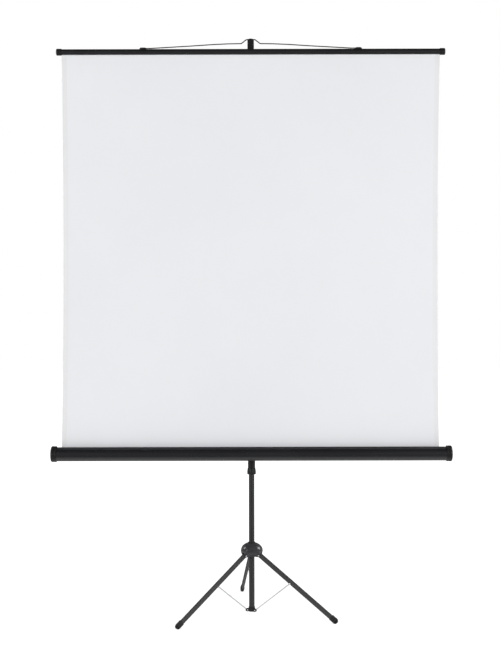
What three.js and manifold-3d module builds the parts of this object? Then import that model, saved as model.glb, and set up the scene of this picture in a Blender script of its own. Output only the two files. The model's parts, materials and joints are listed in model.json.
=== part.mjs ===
import * as THREE from 'three';
import { mergeVertices } from 'three/addons/utils/BufferGeometryUtils.js';
import Module from 'manifold-3d';

const wasm = await Module();
wasm.setup();

// A tripod projection screen, opened, in millimetres.
// +Z is up, the screen faces -Y, and the mast's axis is the Z axis while the pieces are made.

// Clearances
const seatGap = 0.3;
const runGap = 0.4;
const throughCut = 5;

// Tripod legs, of flat-sided oval tube
const legTilt = 54.4;
const legAzimuths = { left: -143.4, right: -23.4, rear: 96.6 };
const legLength = 391.5;
const legWidth = 20.2;
const legThickness = 11.6;
const legWall = 1.3;
const legPivotRadius = 34.6;
const legHead = 6;
const footWall = 1.9;
const footSleeve = 20;
const footGrip = 16;
const footFlat = 0.8;

// Rivets
const legPinRadius = 3;
const rivetRadius = 2;
const rivetHeadRadius = 4;
const rivetHead = 1.8;
const crownShare = 0.6;
const edgeRound = 1;

// Struts
const strutReach = 166;
const strutInset = 5;
const strutWidth = 5;
const strutThickness = 2;
const strutEyeRadius = 4;
const strutRivetHeadRadius = 3;

// Hub
const hubRadius = 44.5;
const hubDomeHeight = 31.5;
const hubTopRadius = 15.5;
const hubWaistRise = 15.2;
const hubRimInset = 3;
const hubBarrelRadius = 18.5;
const hubCheek = 4;
const hubEyeRadius = 6.8;
const hubShield = 36;
const hubBushWall = 2;
const hubBushFlange = 2.2;

// Mast and its foot
const mastRadius = 11.1;
const mastWall = 1;
const mastTop = 1300;
const footCollarBottom = 12;
const footCollarFloor = 3;
const footCollarHeight = 12;
const footCollarWall = 2.4;
const footCollarNeck = 6;
const footCollarNeckWall = 1.4;
const clevisRadius = 17.5;
const clevisHeight = 18;
const clevisEyeRadius = 6;
const clevisCheek = 2.5;

// Extension, its clamp and its hook
const extensionRadius = 8;
const extensionWall = 1;
const extensionBottom = 995;
const extensionBushLength = 45;
const extensionBushFloor = 2;
const lockCollarWall = 4.5;
const lockCollarGrip = 32;
const lockCollarTop = 25;
const lockBossRadius = 8;
const lockBossReach = 24;
const lockScrewRadius = 3;
const lockKnobRadius = 15;
const lockKnobHeight = 14;
const lockKnobLobes = 6;
const lockKnobLobeRadius = 4;
const headWidth = 26;
const headDepthFront = 15;
const headDepthRear = 13;
const headDrop = 10;
const headRearRise = 5.6;
const headLipRise = 1.5;
const headRound = 5;
const headArch = 4.5;
const headThroat = 3;
const headChamfer = 2;
const headTaper = 18;
const headNeckWall = 4;
const headSocket = 54;
const headPinRise = 19;
const headPinRadius = 2;

// Carriage on the mast
const carriageWall = 3;
const carriageBelow = 69;
const carriageAbove = 44;
const carriageNeck = 11;
const carriageNeckWall = 1.6;
const bossRadius = 16;
const bossFace = 38;
const clampRingRadius = 17.5;
const clampRingHeight = 24;
const clampRingTaper = 2;
const clampRingShoulder = 4;
const clampRingFlutes = 12;
const clampRingFluteRadius = 1.8;
const pivotBoltRadius = 4;
const pivotBoltHeadRadius = 8;
const pivotBoltHead = 5;
const pivotBoltGrip = 20;
const washerRadius = 14;
const washerThickness = 1.6;

// Case
const caseHeight = 654.7;
const caseForward = 80;
const caseRadius = 28;
const caseWall = 2.2;
const caseRoom = 15;
const caseSlot = 8;
const caseLedge = 1.3;
const caseLedgeAngle = 153;
const capRadius = 31;
const capSleeve = 5.5;
const capEnd = 16;
const capRound = 6;
const capScrewOffset = 17;
const capScrewRadius = 2;
const capScrewHeadRadius = 4;
const capScrewHead = 2;
const capScrewLength = 11;

// Saddle that holds the case
const bracketLength = 120;
const bracketPlate = 3.6;
const bracketRise = 13;
const bracketDrop = 26;
const bracketPocketDrop = 15;
const bracketLip = 2.7;
const bracketWrap = 55;
const bracketPocket = 44;
const bracketScrewSpread = 45;
const bracketScrewHigh = 5;
const bracketScrewLow = -13;
const bracketScrewRadius = 1.9;
const bracketScrewHeadRadius = 3.6;
const bracketScrewHead = 1.8;
const bracketScrewLength = 10;

// Spring roller
const rollerRadius = 14;
const rollerWall = 1.2;
const rollerMargin = 10.5;
const wrapRadius = 18.3;
const plugLength = 20;
const gudgeonRadius = 3.5;
const gudgeonSeat = 9;
const springShaftRadius = 5;
const springShaftLength = 190;
const springWireRadius = 0.9;
const springPitch = 4.6;
const springTurns = 16;
const springInset = 40;

// Fabric and top bar
const fabricWidth = 1499;
const fabricThickness = 0.8;
const fabricDrawIn = 5;
const barHeight = 2244.8;
const barRadius = 11.6;
const barWall = 1.6;
const barMargin = 9;
const barSlot = 2.4;
const barCapRadius = 13.5;
const barCapLength = 21;
const barCapRound = 4.5;
const kederRadius = 3.2;

// Bail
const bailWireRadius = 2.1;
const bailSpan = 872;
const bailPivotLift = 2.6;
const bailNotchForward = 8;
const bailNotchRise = 58.1;
const bailFlat = 398;
const bailFlank = 240;
const bailFlankRise = 17.9;
const bailShoulder = 150;
const bailShoulderRise = 29.9;
const bailCrown = 90;
const bailCrownRise = 35.2;
const bailBumpBase = 37.5;
const bailBumpBaseRise = 36.8;
const bailBumpTop = 17.5;
const bailCorner = 4;
const lugLength = 28;
const lugWidth = 10;
const lugSlope = 5;
const lugCover = 0.9;
const lugFoot = 1;

// Facets round a full turn
const fine = 32;
const medium = 20;
const small = 10;
const hexSides = 6;
const wireSides = 6;
const bendSteps = 5;
const springSteps = 8;
const springSides = 5;
const mergeDistance = 1e-4;

const degree = Math.PI / 180;
const axisX = new THREE.Vector3(1, 0, 0);
const axisY = new THREE.Vector3(0, 1, 0);
const axisZ = new THREE.Vector3(0, 0, 1);

// Places worked out from the sizes
const tilt = legTilt * degree;
const legSpacing = 360 / Object.keys(legAzimuths).length;
const footWidth = legWidth + 2 * (seatGap + footWall);
const footThickness = legThickness + 2 * (seatGap + footWall);
const footRadius = footWidth / 2;
const pivotHeight = footRadius - footFlat + legLength * Math.cos(tilt);
const cheekInside = legThickness / 2 + runGap;
const cheekOutside = cheekInside + hubCheek;
const slotSwing = Math.hypot(legWidth / 2, legHead) + runGap;
const hubRimHeight = pivotHeight + rivetHeadRadius + runGap;
const hubWidest = pivotHeight + hubWaistRise;
const hubTop = hubWidest + hubDomeHeight;
const hubBottom = pivotHeight - hubEyeRadius;
const hubBushOuter = mastRadius + runGap + hubBushWall;
const strutNear = -legThickness / 2 - runGap;
const strutFar = strutNear - strutThickness;
const clevisNear = strutNear + seatGap + clevisCheek;
const clevisFar = strutFar - seatGap - clevisCheek;
const mastBottom = footCollarBottom + footCollarFloor + seatGap;
const mastBore = mastRadius - mastWall;
const lockCollarBottom = mastTop - lockCollarGrip;
const lockCollarHigh = mastTop + lockCollarTop;
const lockHeight = mastTop + lockCollarTop / 2;
const rollerForward = caseForward;
const fabricForward = rollerForward - wrapRadius - seatGap - fabricThickness / 2;
const fabricOffset = caseForward - fabricForward;
const carriageRadius = mastRadius + runGap + carriageWall;
const carriageBottom = caseHeight - carriageBelow;
const carriageTop = caseHeight + carriageAbove;
const neckBottom = carriageBottom - carriageNeck;
const neckRadius = mastRadius + runGap + carriageNeckWall;
const clampRingTop = carriageBottom - seatGap;
const clampRingBottom = clampRingTop - clampRingHeight;
const washerFace = bossFace + seatGap + washerThickness;
const plateBack = washerFace + seatGap;
const plateFront = plateBack + bracketPlate;
const cradleRadius = caseRadius + seatGap;
const rollerBore = rollerRadius - rollerWall;
const rollerLength = fabricWidth + 2 * rollerMargin;
const caseLength = rollerLength + 2 * caseRoom;
const barLength = fabricWidth + 2 * barMargin;
const headBottom = barHeight - headDrop;
const bailPivotHeight = barHeight + barRadius + bailPivotLift;
const notchHeight = barHeight + bailNotchRise;
const bailLean = Math.atan2(fabricForward - bailNotchForward, notchHeight - bailPivotHeight);
const bailReach = Math.hypot(fabricForward - bailNotchForward, notchHeight - bailPivotHeight);

// Finishes
function finish(color, roughness, metalness) {
  return new THREE.MeshStandardMaterial({ color, roughness, metalness });
}

const blackPaint = finish(0x2a2b2d, 0.42, 0.35);
const blackPlastic = finish(0x242427, 0.38, 0);
const blackRubber = finish(0x1b1b1c, 0.85, 0);
const silverSteel = finish(0xc4c6c8, 0.3, 0.9);
const springSteel = finish(0x8d9095, 0.35, 0.9);
const caseBlack = finish(0x2c2d2f, 0.34, 0.3);
const whiteFabric = finish(0xe9ebee, 0.85, 0);
const whitePlastic = finish(0xdcdcda, 0.5, 0);
const bareAluminium = finish(0xb9bbbe, 0.35, 0.85);

// Geometry helpers

function turned(profile, segments) {
  const points = profile.map(([radius, height]) => new THREE.Vector2(radius, height));
  return new THREE.LatheGeometry(points, segments).rotateX(Math.PI / 2);
}

function rod(radius, low, high, segments) {
  return turned([[0, low], [radius, low], [radius, high], [0, high]], segments);
}

function ring(inner, outer, low, high, segments) {
  return turned([[inner, low], [outer, low], [outer, high], [inner, high], [inner, low]], segments);
}

// Points on an arc, from one angle in degrees to another, both ends included
function arcPoints(centreX, centreY, radius, from, to, segments) {
  const steps = Math.max(2, Math.round(Math.abs(to - from) / 360 * segments));
  return Array.from({ length: steps + 1 }, (_, i) => {
    const angle = (from + (to - from) * i / steps) * degree;
    return [centreX + radius * Math.cos(angle), centreY + radius * Math.sin(angle)];
  });
}

const alongX = (geometry) => geometry.rotateY(Math.PI / 2);
const alongY = (geometry) => geometry.rotateX(-Math.PI / 2);

function outline(points) {
  return new THREE.Shape(points.map(([x, y]) => new THREE.Vector2(x, y)));
}

// A prism whose outline lies in the YZ plane, from x = low to x = high
function prismX(points, low, high) {
  const geometry = new THREE.ExtrudeGeometry(outline(points), { depth: high - low, bevelEnabled: false });
  geometry.applyMatrix4(new THREE.Matrix4().makeBasis(axisY, axisZ, axisX));
  return geometry.translate(low, 0, 0);
}

// A prism whose outline lies in the XZ plane, from y = low to y = high
function prismY(points, low, high) {
  const geometry = new THREE.ExtrudeGeometry(outline(points), { depth: high - low, bevelEnabled: false });
  geometry.applyMatrix4(new THREE.Matrix4().makeBasis(axisX, axisZ, axisY.clone().negate()));
  return geometry.translate(0, high, 0);
}

// A bar along Z whose section is an oval of two half rounds joined by flats, wider along X
function ovalBar(width, thickness, low, high) {
  const reach = (width - thickness) / 2;
  const section = outline([
    ...arcPoints(reach, 0, thickness / 2, -90, 90, medium),
    ...arcPoints(-reach, 0, thickness / 2, 90, 270, medium),
  ]);
  const bar = new THREE.ExtrudeGeometry(section, { depth: high - low, bevelEnabled: false });
  return bar.translate(0, 0, low);
}

function block(low, high) {
  const size = high.map((value, i) => value - low[i]);
  const middle = high.map((value, i) => (value + low[i]) / 2);
  return new THREE.BoxGeometry(...size).translate(...middle);
}

// Positions alone, with shared corners merged and collapsed triangles left out
function closed(geometry) {
  const bare = new THREE.BufferGeometry();
  bare.setAttribute('position', geometry.getAttribute('position').clone());
  if (geometry.index) bare.setIndex(geometry.index.clone());
  const merged = mergeVertices(bare, mergeDistance);
  const corners = merged.index.array;
  const kept = [];
  for (let i = 0; i < corners.length; i += 3) {
    const [a, b, c] = corners.slice(i, i + 3);
    if (a !== b && b !== c && c !== a) kept.push(a, b, c);
  }
  merged.setIndex(kept);
  return merged;
}

function solid(geometry) {
  const body = closed(geometry);
  const vertProperties = new Float32Array(body.getAttribute('position').array);
  const triVerts = new Uint32Array(body.index.array);
  return new wasm.Manifold(new wasm.Mesh({ numProp: 3, vertProperties, triVerts }));
}

function joined(...geometries) {
  return geometries.map(solid).reduce((sum, next) => sum.add(next));
}

function carved(body, ...tools) {
  return tools.map(solid).reduce((left, tool) => left.subtract(tool), body);
}

function faces(body) {
  const mesh = body.getMesh();
  const geometry = new THREE.BufferGeometry();
  geometry.setAttribute('position', new THREE.BufferAttribute(Float32Array.from(mesh.vertProperties), 3));
  geometry.setIndex(Array.from(mesh.triVerts));
  const flat = geometry.toNonIndexed();
  flat.computeVertexNormals();
  return flat;
}

const screen = new THREE.Group();

function piece(name, geometry, material, parent = screen) {
  const mesh = new THREE.Mesh(geometry, material);
  mesh.name = name;
  parent.add(mesh);
  return mesh;
}

// A rivet along Z with a low domed head at each end of its grip
function rivet(radius, headRadius, low, high) {
  const crown = headRadius * crownShare;
  return turned([
    [0, low - rivetHead], [crown, low - rivetHead], [headRadius, low - rivetHead / 2], [headRadius, low],
    [radius, low], [radius, high], [headRadius, high], [headRadius, high + rivetHead / 2],
    [crown, high + rivetHead], [0, high + rivetHead],
  ], small);
}

// Mast

function mast() {
  piece('mast_tube', ring(mastBore, mastRadius, mastBottom, mastTop, medium), blackPaint);

  const collarRadius = mastRadius + seatGap + footCollarWall;
  const collarTop = footCollarBottom + footCollarHeight;
  const neckTop = collarTop + footCollarNeck;
  const parts = [
    rod(collarRadius, footCollarBottom, collarTop, medium),
    rod(mastRadius + seatGap + footCollarNeckWall, footCollarBottom, neckTop, medium),
  ];
  const holes = [rod(mastRadius + seatGap, mastBottom - seatGap, neckTop + throughCut, medium)];
  for (const azimuth of Object.values(legAzimuths)) {
    const ear = [
      [mastRadius + seatGap + footCollarWall / 2, clevisHeight + clevisEyeRadius],
      [mastRadius + seatGap + footCollarWall / 2, clevisHeight - clevisEyeRadius],
      ...arcPoints(clevisRadius, clevisHeight, clevisEyeRadius, -90, 90, small),
    ];
    for (const low of [clevisFar, clevisNear - clevisCheek]) {
      parts.push(prismY(ear, low, low + clevisCheek).rotateZ(azimuth * degree));
    }
    const web = block(
      [mastRadius + seatGap, clevisFar, clevisHeight - clevisEyeRadius],
      [clevisRadius - strutEyeRadius - runGap, clevisNear, clevisHeight + clevisEyeRadius],
    );
    parts.push(web.rotateZ(azimuth * degree));
    const eye = alongY(rod(rivetRadius + seatGap, clevisFar - throughCut, 0, small));
    holes.push(eye.translate(clevisRadius, 0, clevisHeight).rotateZ(azimuth * degree));
  }
  piece('mast_foot', faces(carved(joined(...parts), ...holes)), blackPlastic);
}

// Hub

function hub() {
  const dome = [[0, hubRimHeight], [hubRadius - hubRimInset, hubRimHeight]];
  const crownAngle = Math.acos(hubTopRadius / hubRadius) / degree;
  for (const [x, y] of arcPoints(0, 0, 1, 0, crownAngle, fine)) {
    dome.push([hubRadius * x, hubWidest + hubDomeHeight * y / Math.sin(crownAngle * degree)]);
  }
  dome.push([0, hubTop]);
  const parts = [
    turned(dome, fine),
    rod(hubBarrelRadius, hubBottom, hubWidest, medium),
  ];
  const cuts = [rod(hubBushOuter + seatGap, hubBottom - throughCut, hubTop + throughCut, medium)];
  const yoke = [
    [0, hubWidest],
    [0, hubBottom],
    ...arcPoints(legPivotRadius, pivotHeight, hubEyeRadius, -90, 0, medium),
    [legPivotRadius + hubEyeRadius, hubWidest],
  ];
  for (const azimuth of Object.values(legAzimuths)) {
    parts.push(prismY(yoke, -cheekOutside, cheekOutside).rotateZ(azimuth * degree));
    const slot = block(
      [legPivotRadius - slotSwing, -cheekInside, hubBottom - throughCut],
      [hubRadius + throughCut, cheekInside, pivotHeight + slotSwing],
    );
    cuts.push(slot.rotateZ(azimuth * degree));
    const pinHole = alongY(rod(legPinRadius + seatGap, -hubRadius, hubRadius, small));
    cuts.push(pinHole.translate(legPivotRadius, 0, pivotHeight).rotateZ(azimuth * degree));
    const shield = block(
      [hubShield, -hubRadius, hubRimHeight - throughCut],
      [hubRadius + throughCut, hubRadius, hubTop],
    );
    cuts.push(shield.rotateZ((azimuth + legSpacing / 2) * degree));
  }
  piece('hub_body', faces(carved(joined(...parts), ...cuts)), blackPlastic);

  const bushInner = mastRadius + runGap;
  piece('hub_bush', turned([
    [bushInner, hubBottom], [hubBushOuter, hubBottom],
    [hubBushOuter, hubTop + seatGap], [hubTopRadius, hubTop + seatGap],
    [hubTopRadius, hubTop + hubBushFlange], [bushInner, hubTop + hubBushFlange],
    [bushInner, hubBottom],
  ], medium), blackPlastic);
}

// One leg with its foot, pin, strut and rivets; x runs outward from the mast in the turned group

function leg(side) {
  const plane = new THREE.Group();
  plane.rotation.z = legAzimuths[side] * degree;
  screen.add(plane);

  const limb = new THREE.Group();
  limb.position.set(legPivotRadius, 0, pivotHeight);
  limb.rotation.y = -tilt;
  plane.add(limb);

  const footTop = -legLength + footSleeve;
  const boreEnd = footTop - footGrip;
  const tubeEnd = boreEnd + seatGap;
  const hollow = [legWidth - 2 * legWall, legThickness - 2 * legWall];
  const across = legThickness / 2 + throughCut;
  piece(`leg_tube_${side}`, faces(carved(
    solid(ovalBar(legWidth, legThickness, tubeEnd, legHead)),
    ovalBar(...hollow, tubeEnd - throughCut, legHead + throughCut),
    alongY(rod(legPinRadius + seatGap, -across, across, small)),
  )), blackPaint, limb);

  const roundEnd = prismY([
    [footWidth, -legLength], [footWidth, footTop + throughCut],
    [-footWidth, footTop + throughCut], [-footWidth, -legLength],
    ...arcPoints(0, -legLength, footRadius, 180, 360, fine),
  ], -footWidth, footWidth);
  const stock = ovalBar(footWidth, footThickness, -legLength - footWidth, footTop);
  const bore = [legWidth + 2 * seatGap, legThickness + 2 * seatGap];
  const ground = block([-footWidth, -footWidth, -footWidth], [footWidth, footWidth, 0]);
  ground.translate(0, 0, -(footRadius - footFlat)).rotateY(tilt).translate(0, 0, -legLength);
  piece(`leg_foot_${side}`, faces(carved(
    solid(stock).intersect(solid(roundEnd)),
    ovalBar(...bore, boreEnd, footTop + throughCut),
    ground,
  )), blackRubber, limb);

  const pin = alongY(rivet(legPinRadius, rivetHeadRadius, -cheekOutside - seatGap, cheekOutside + seatGap));
  piece(`leg_pin_${side}`, pin.translate(legPivotRadius, 0, pivotHeight), silverSteel, plane);

  const reachX = legPivotRadius + strutReach * Math.sin(tilt) - strutInset * Math.cos(tilt) - clevisRadius;
  const reachZ = pivotHeight - strutReach * Math.cos(tilt) - strutInset * Math.sin(tilt) - clevisHeight;
  const strutLength = Math.hypot(reachX, reachZ);
  const strut = new THREE.Group();
  strut.position.set(clevisRadius, 0, clevisHeight);
  strut.rotation.y = Math.atan2(reachX, reachZ);
  plane.add(strut);

  const half = strutWidth / 2;
  const neck = Math.asin(half / strutEyeRadius) / degree;
  const bar = solid(prismY([
    ...arcPoints(0, 0, strutEyeRadius, 90 + neck, 450 - neck, medium),
    ...arcPoints(0, strutLength, strutEyeRadius, neck - 90, 270 - neck, medium),
  ], strutFar, strutNear));
  const eyes = [0, strutLength].map((height) => {
    const eye = alongY(rod(rivetRadius + seatGap, strutFar - throughCut, 0, small));
    return eye.translate(0, 0, height);
  });
  piece(`strut_${side}`, faces(carved(bar, ...eyes)), silverSteel, strut);

  const stud = turned([
    [0, strutFar - rivetHead], [strutRivetHeadRadius * crownShare, strutFar - rivetHead],
    [strutRivetHeadRadius, strutFar - rivetHead / 2], [strutRivetHeadRadius, strutFar - seatGap],
    [rivetRadius, strutFar - seatGap], [rivetRadius, strutNear], [0, strutNear],
  ], small);
  piece(`strut_leg_rivet_${side}`, alongY(stud).translate(0, 0, strutLength), silverSteel, strut);

  const grip = rivet(rivetRadius, strutRivetHeadRadius, clevisFar - seatGap, clevisNear + seatGap);
  const clevisRivet = alongY(grip).translate(clevisRadius, 0, clevisHeight);
  piece(`strut_foot_rivet_${side}`, clevisRivet, silverSteel, plane);
}

// Clamp at the mast's top, extension tube and hook

function extension() {
  const lowBore = mastRadius + seatGap;
  const highBore = extensionRadius + runGap;
  const collarRadius = lowBore + lockCollarWall;
  const collar = joined(
    rod(collarRadius, lockCollarBottom, lockCollarHigh, medium),
    alongY(rod(lockBossRadius, 0, lockBossReach, medium)).translate(0, 0, lockHeight),
  );
  const screwHole = alongY(rod(lockScrewRadius + seatGap, 0, lockBossReach + throughCut, small));
  piece('mast_lock_collar', faces(carved(
    collar,
    rod(lowBore, lockCollarBottom - throughCut, mastTop + seatGap, medium),
    rod(highBore, lockCollarBottom - throughCut, lockCollarHigh + throughCut, medium),
    screwHole.translate(0, 0, lockHeight),
  )), blackPlastic);

  const knobBack = lockBossReach + runGap;
  const knob = [
    rod(lockScrewRadius, extensionRadius + runGap, knobBack + lockKnobHeight / 2, small),
    rod(lockKnobRadius - lockKnobLobeRadius / 2, knobBack, knobBack + lockKnobHeight, medium),
  ];
  for (let i = 0; i < lockKnobLobes; i += 1) {
    const lobe = rod(lockKnobLobeRadius, knobBack, knobBack + lockKnobHeight, small);
    const angle = i * 360 / lockKnobLobes * degree;
    knob.push(lobe.translate(lockKnobRadius - lockKnobLobeRadius, 0, 0).rotateZ(angle));
  }
  const knobBody = knob.map((shape) => alongY(shape).translate(0, 0, lockHeight));
  piece('lock_knob', faces(joined(...knobBody)), blackPlastic);

  const tubeTop = headBottom + headSocket - seatGap;
  const pinHeight = headBottom + headPinRise;
  const pinBore = () => {
    const reach = headWidth / 2 + throughCut;
    return alongX(rod(headPinRadius + seatGap, -reach, reach, small)).translate(0, 0, pinHeight);
  };
  const tubeBore = extensionRadius - extensionWall;
  const tube = solid(ring(tubeBore, extensionRadius, extensionBottom, tubeTop, medium));
  piece('extension_tube', faces(carved(tube, pinBore())), bareAluminium);

  const bushInner = extensionRadius + seatGap;
  const bushOuter = mastBore - runGap / 2;
  const bushTop = extensionBottom + extensionBushLength;
  const bushLow = extensionBottom - seatGap;
  const bushFloor = bushLow - extensionBushFloor;
  piece('extension_bush', turned([
    [0, bushFloor], [bushOuter, bushFloor], [bushOuter, bushTop], [bushInner, bushTop],
    [bushInner, bushLow], [0, bushLow],
  ], medium), whitePlastic);

  const groove = bailWireRadius + seatGap;
  const notch = arcPoints(-bailNotchForward, notchHeight, groove, 0, -180, small);
  const top = notchHeight + headRearRise;
  const headHalf = headWidth / 2;
  const profile = solid(prismX([
    [headDepthRear, headBottom],
    ...arcPoints(headDepthRear - headRound, top - headRound, headRound, 0, 90, medium),
    [-bailNotchForward + groove + headThroat, top],
    ...notch,
    [-bailNotchForward - groove, notchHeight + headLipRise],
    [-headDepthFront + headChamfer, notchHeight + headLipRise],
    [-headDepthFront, notchHeight + headLipRise - headChamfer],
    [-headDepthFront, headBottom + headTaper],
    [-extensionRadius - headNeckWall, headBottom],
  ], -headHalf, headHalf));
  const archRadius = (headHalf * headHalf + headArch * headArch) / (2 * headArch);
  const archAngle = Math.asin(headHalf / archRadius) / degree;
  const front = prismY([
    [-headHalf, headBottom], [headHalf, headBottom],
    ...arcPoints(0, top - archRadius, archRadius, 90 - archAngle, 90 + archAngle, 2 * fine),
  ], -headDepthFront, headDepthRear);
  const head = profile.intersect(solid(front));
  const socket = rod(extensionRadius + seatGap, headBottom - throughCut, headBottom + headSocket, medium);
  piece('hook_head', faces(carved(head, socket, pinBore())), blackPlastic);

  const pinGrip = headHalf + seatGap;
  const pin = alongX(rivet(headPinRadius, rivetHeadRadius, -pinGrip, pinGrip));
  piece('head_pin', pin.translate(0, 0, pinHeight), silverSteel);
}

// Carriage, its twist ring and the pivot

function carriage() {
  const bore = mastRadius + runGap;
  const sleeve = joined(
    rod(carriageRadius, carriageBottom, carriageTop, medium),
    rod(neckRadius, neckBottom, carriageTop, medium),
    alongY(rod(bossRadius, -bossFace, 0, medium)).translate(0, 0, caseHeight),
  );
  const boltEnd = bossFace - pivotBoltGrip;
  const boltBore = pivotBoltRadius + seatGap;
  const boltHole = alongY(rod(boltBore, -bossFace - throughCut, -boltEnd + seatGap, small));
  piece('carriage_body', faces(carved(
    sleeve,
    rod(bore, neckBottom - throughCut, carriageTop + throughCut, medium),
    boltHole.translate(0, 0, caseHeight),
  )), blackPlastic);

  const neckBore = neckRadius + seatGap;
  const step = neckBottom - seatGap;
  const middle = (clampRingTop + clampRingBottom) / 2;
  const grip = solid(turned([
    [bore, clampRingBottom], [clampRingRadius - edgeRound, clampRingBottom],
    [clampRingRadius, clampRingBottom + edgeRound], [clampRingRadius, middle],
    [clampRingRadius - clampRingTaper, clampRingTop],
    [neckBore, clampRingTop], [neckBore, step], [bore, step], [bore, clampRingBottom],
  ], medium));
  const flutes = Array.from({ length: clampRingFlutes }, (_, i) => {
    const shoulder = clampRingTop - clampRingShoulder;
    const flute = rod(clampRingFluteRadius, clampRingBottom - throughCut, shoulder, small);
    const angle = i * 360 / clampRingFlutes * degree;
    return flute.translate(clampRingRadius + clampRingFluteRadius / 2, 0, 0).rotateZ(angle);
  });
  piece('clamp_ring', faces(carved(grip, ...flutes)), blackPlastic);

  const washer = ring(pivotBoltRadius + seatGap, washerRadius, bossFace + seatGap, washerFace, medium);
  piece('pivot_washer', alongY(washer.rotateX(Math.PI)).translate(0, 0, caseHeight), silverSteel);

  const headLow = plateFront + seatGap;
  const bolt = joined(
    rod(pivotBoltRadius, boltEnd, headLow + pivotBoltHead / 2, small),
    rod(pivotBoltHeadRadius, headLow, headLow + pivotBoltHead, hexSides),
  );
  piece('pivot_bolt', alongY(faces(bolt).rotateX(Math.PI)).translate(0, 0, caseHeight), silverSteel);
}

// Saddle and its screws

function bracket() {
  const topAngle = Math.asin(bracketRise / cradleRadius) / degree;
  const lipRadius = cradleRadius + bracketLip;
  const wrap = bracketWrap * degree;
  const section = [
    [-plateBack, caseHeight + bracketRise],
    ...arcPoints(-caseForward, caseHeight, cradleRadius, topAngle, -bracketWrap, fine),
    [-caseForward + lipRadius * Math.cos(wrap), caseHeight - lipRadius * Math.sin(wrap)],
    [-plateBack, caseHeight - bracketDrop],
  ];
  const half = bracketLength / 2;
  const saddle = solid(prismX(section, -half, half));
  const holes = [
    block(
      [-bracketPocket / 2, -caseForward, caseHeight - bracketPocketDrop],
      [bracketPocket / 2, -plateFront, caseHeight + bracketRise + throughCut],
    ),
    alongY(rod(pivotBoltRadius + seatGap, -caseForward, 0, small)).translate(0, 0, caseHeight),
  ];
  let number = 1;
  for (const x of [-bracketScrewSpread, bracketScrewSpread]) {
    for (const rise of [bracketScrewLow, bracketScrewHigh]) {
      const depth = plateBack + bracketScrewLength + seatGap;
      const hole = alongY(rod(bracketScrewRadius + seatGap, -depth, 0, small));
      holes.push(hole.translate(x, 0, caseHeight + rise));
      const headFace = plateBack - seatGap;
      const headTop = headFace - bracketScrewHead;
      const screw = turned([
        [0, headTop], [bracketScrewHeadRadius * crownShare, headTop],
        [bracketScrewHeadRadius, headFace - bracketScrewHead / 2], [bracketScrewHeadRadius, headFace],
        [bracketScrewRadius, headFace], [bracketScrewRadius, plateBack + bracketScrewLength],
        [0, plateBack + bracketScrewLength],
      ], small);
      const turnedScrew = alongY(screw.rotateX(Math.PI));
      piece(`bracket_screw_${number}`, turnedScrew.translate(x, 0, caseHeight + rise), silverSteel);
      number += 1;
    }
  }
  piece('case_bracket', faces(carved(saddle, ...holes)), blackPlastic);
}

// Case tube and its end caps

function caseShell() {
  const inner = caseRadius - caseWall;
  const slotNear = fabricOffset - caseSlot / 2;
  const slotFar = fabricOffset + caseSlot / 2;
  const angleAt = (radius, offset) => Math.acos(offset / radius) / degree;
  const wall = (radius, from, to) => arcPoints(-caseForward, caseHeight, radius, from, to, fine);
  const lower = caseRadius - caseLedge;
  const section = [
    ...wall(lower, angleAt(lower, slotNear), caseLedgeAngle),
    ...wall(caseRadius, caseLedgeAngle, 360 + angleAt(caseRadius, slotFar)),
    ...wall(inner, 360 + angleAt(inner, slotFar), angleAt(inner, slotNear)),
  ];
  piece('case_tube', prismX(section, -caseLength / 2, caseLength / 2), caseBlack);

  const seat = caseLength / 2 + seatGap;
  const sleeveEdge = caseLength / 2 - capSleeve;
  const capOuter = caseLength / 2 + capEnd;
  const profile = [
    [0, seat], [caseRadius + seatGap, seat], [caseRadius + seatGap, sleeveEdge],
    [capRadius - edgeRound, sleeveEdge], [capRadius, sleeveEdge + edgeRound],
    ...arcPoints(capRadius - capRound, capOuter - capRound, capRound, 0, 90, medium),
    [0, capOuter],
  ];
  for (const [side, turn] of [['left', Math.PI], ['right', 0]]) {
    const place = (geometry) => alongX(geometry).rotateZ(turn).translate(0, -caseForward, caseHeight);
    const bore = side === 'left' ? gudgeonRadius : springShaftRadius;
    const cap = solid(place(turned(profile, fine)));
    const holes = [place(rod(bore + seatGap, sleeveEdge, seat + gudgeonSeat + seatGap, small))];
    [-1, 1].forEach((way, i) => {
      const offset = way * capScrewOffset;
      const headFace = capOuter - capScrewHead;
      const screwEnd = capOuter - capScrewLength;
      const hole = joined(
        rod(capScrewRadius + seatGap, screwEnd - seatGap, capOuter + throughCut, small),
        rod(capScrewHeadRadius + seatGap, headFace - seatGap, capOuter + throughCut, small),
      );
      holes.push(place(faces(hole).translate(0, offset, 0)));
      const screw = turned([
        [0, screwEnd], [capScrewRadius, screwEnd], [capScrewRadius, headFace],
        [capScrewHeadRadius, headFace], [capScrewHeadRadius, capOuter - capScrewHead / 3],
        [capScrewHeadRadius * crownShare, capOuter], [0, capOuter],
      ], small);
      piece(`cap_screw_${side}_${i + 1}`, place(screw.translate(0, offset, 0)), silverSteel);
    });
    piece(`case_cap_${side}`, faces(carved(cap, ...holes)), blackPlastic);
  }
}

// Spring roller inside the case

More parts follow.
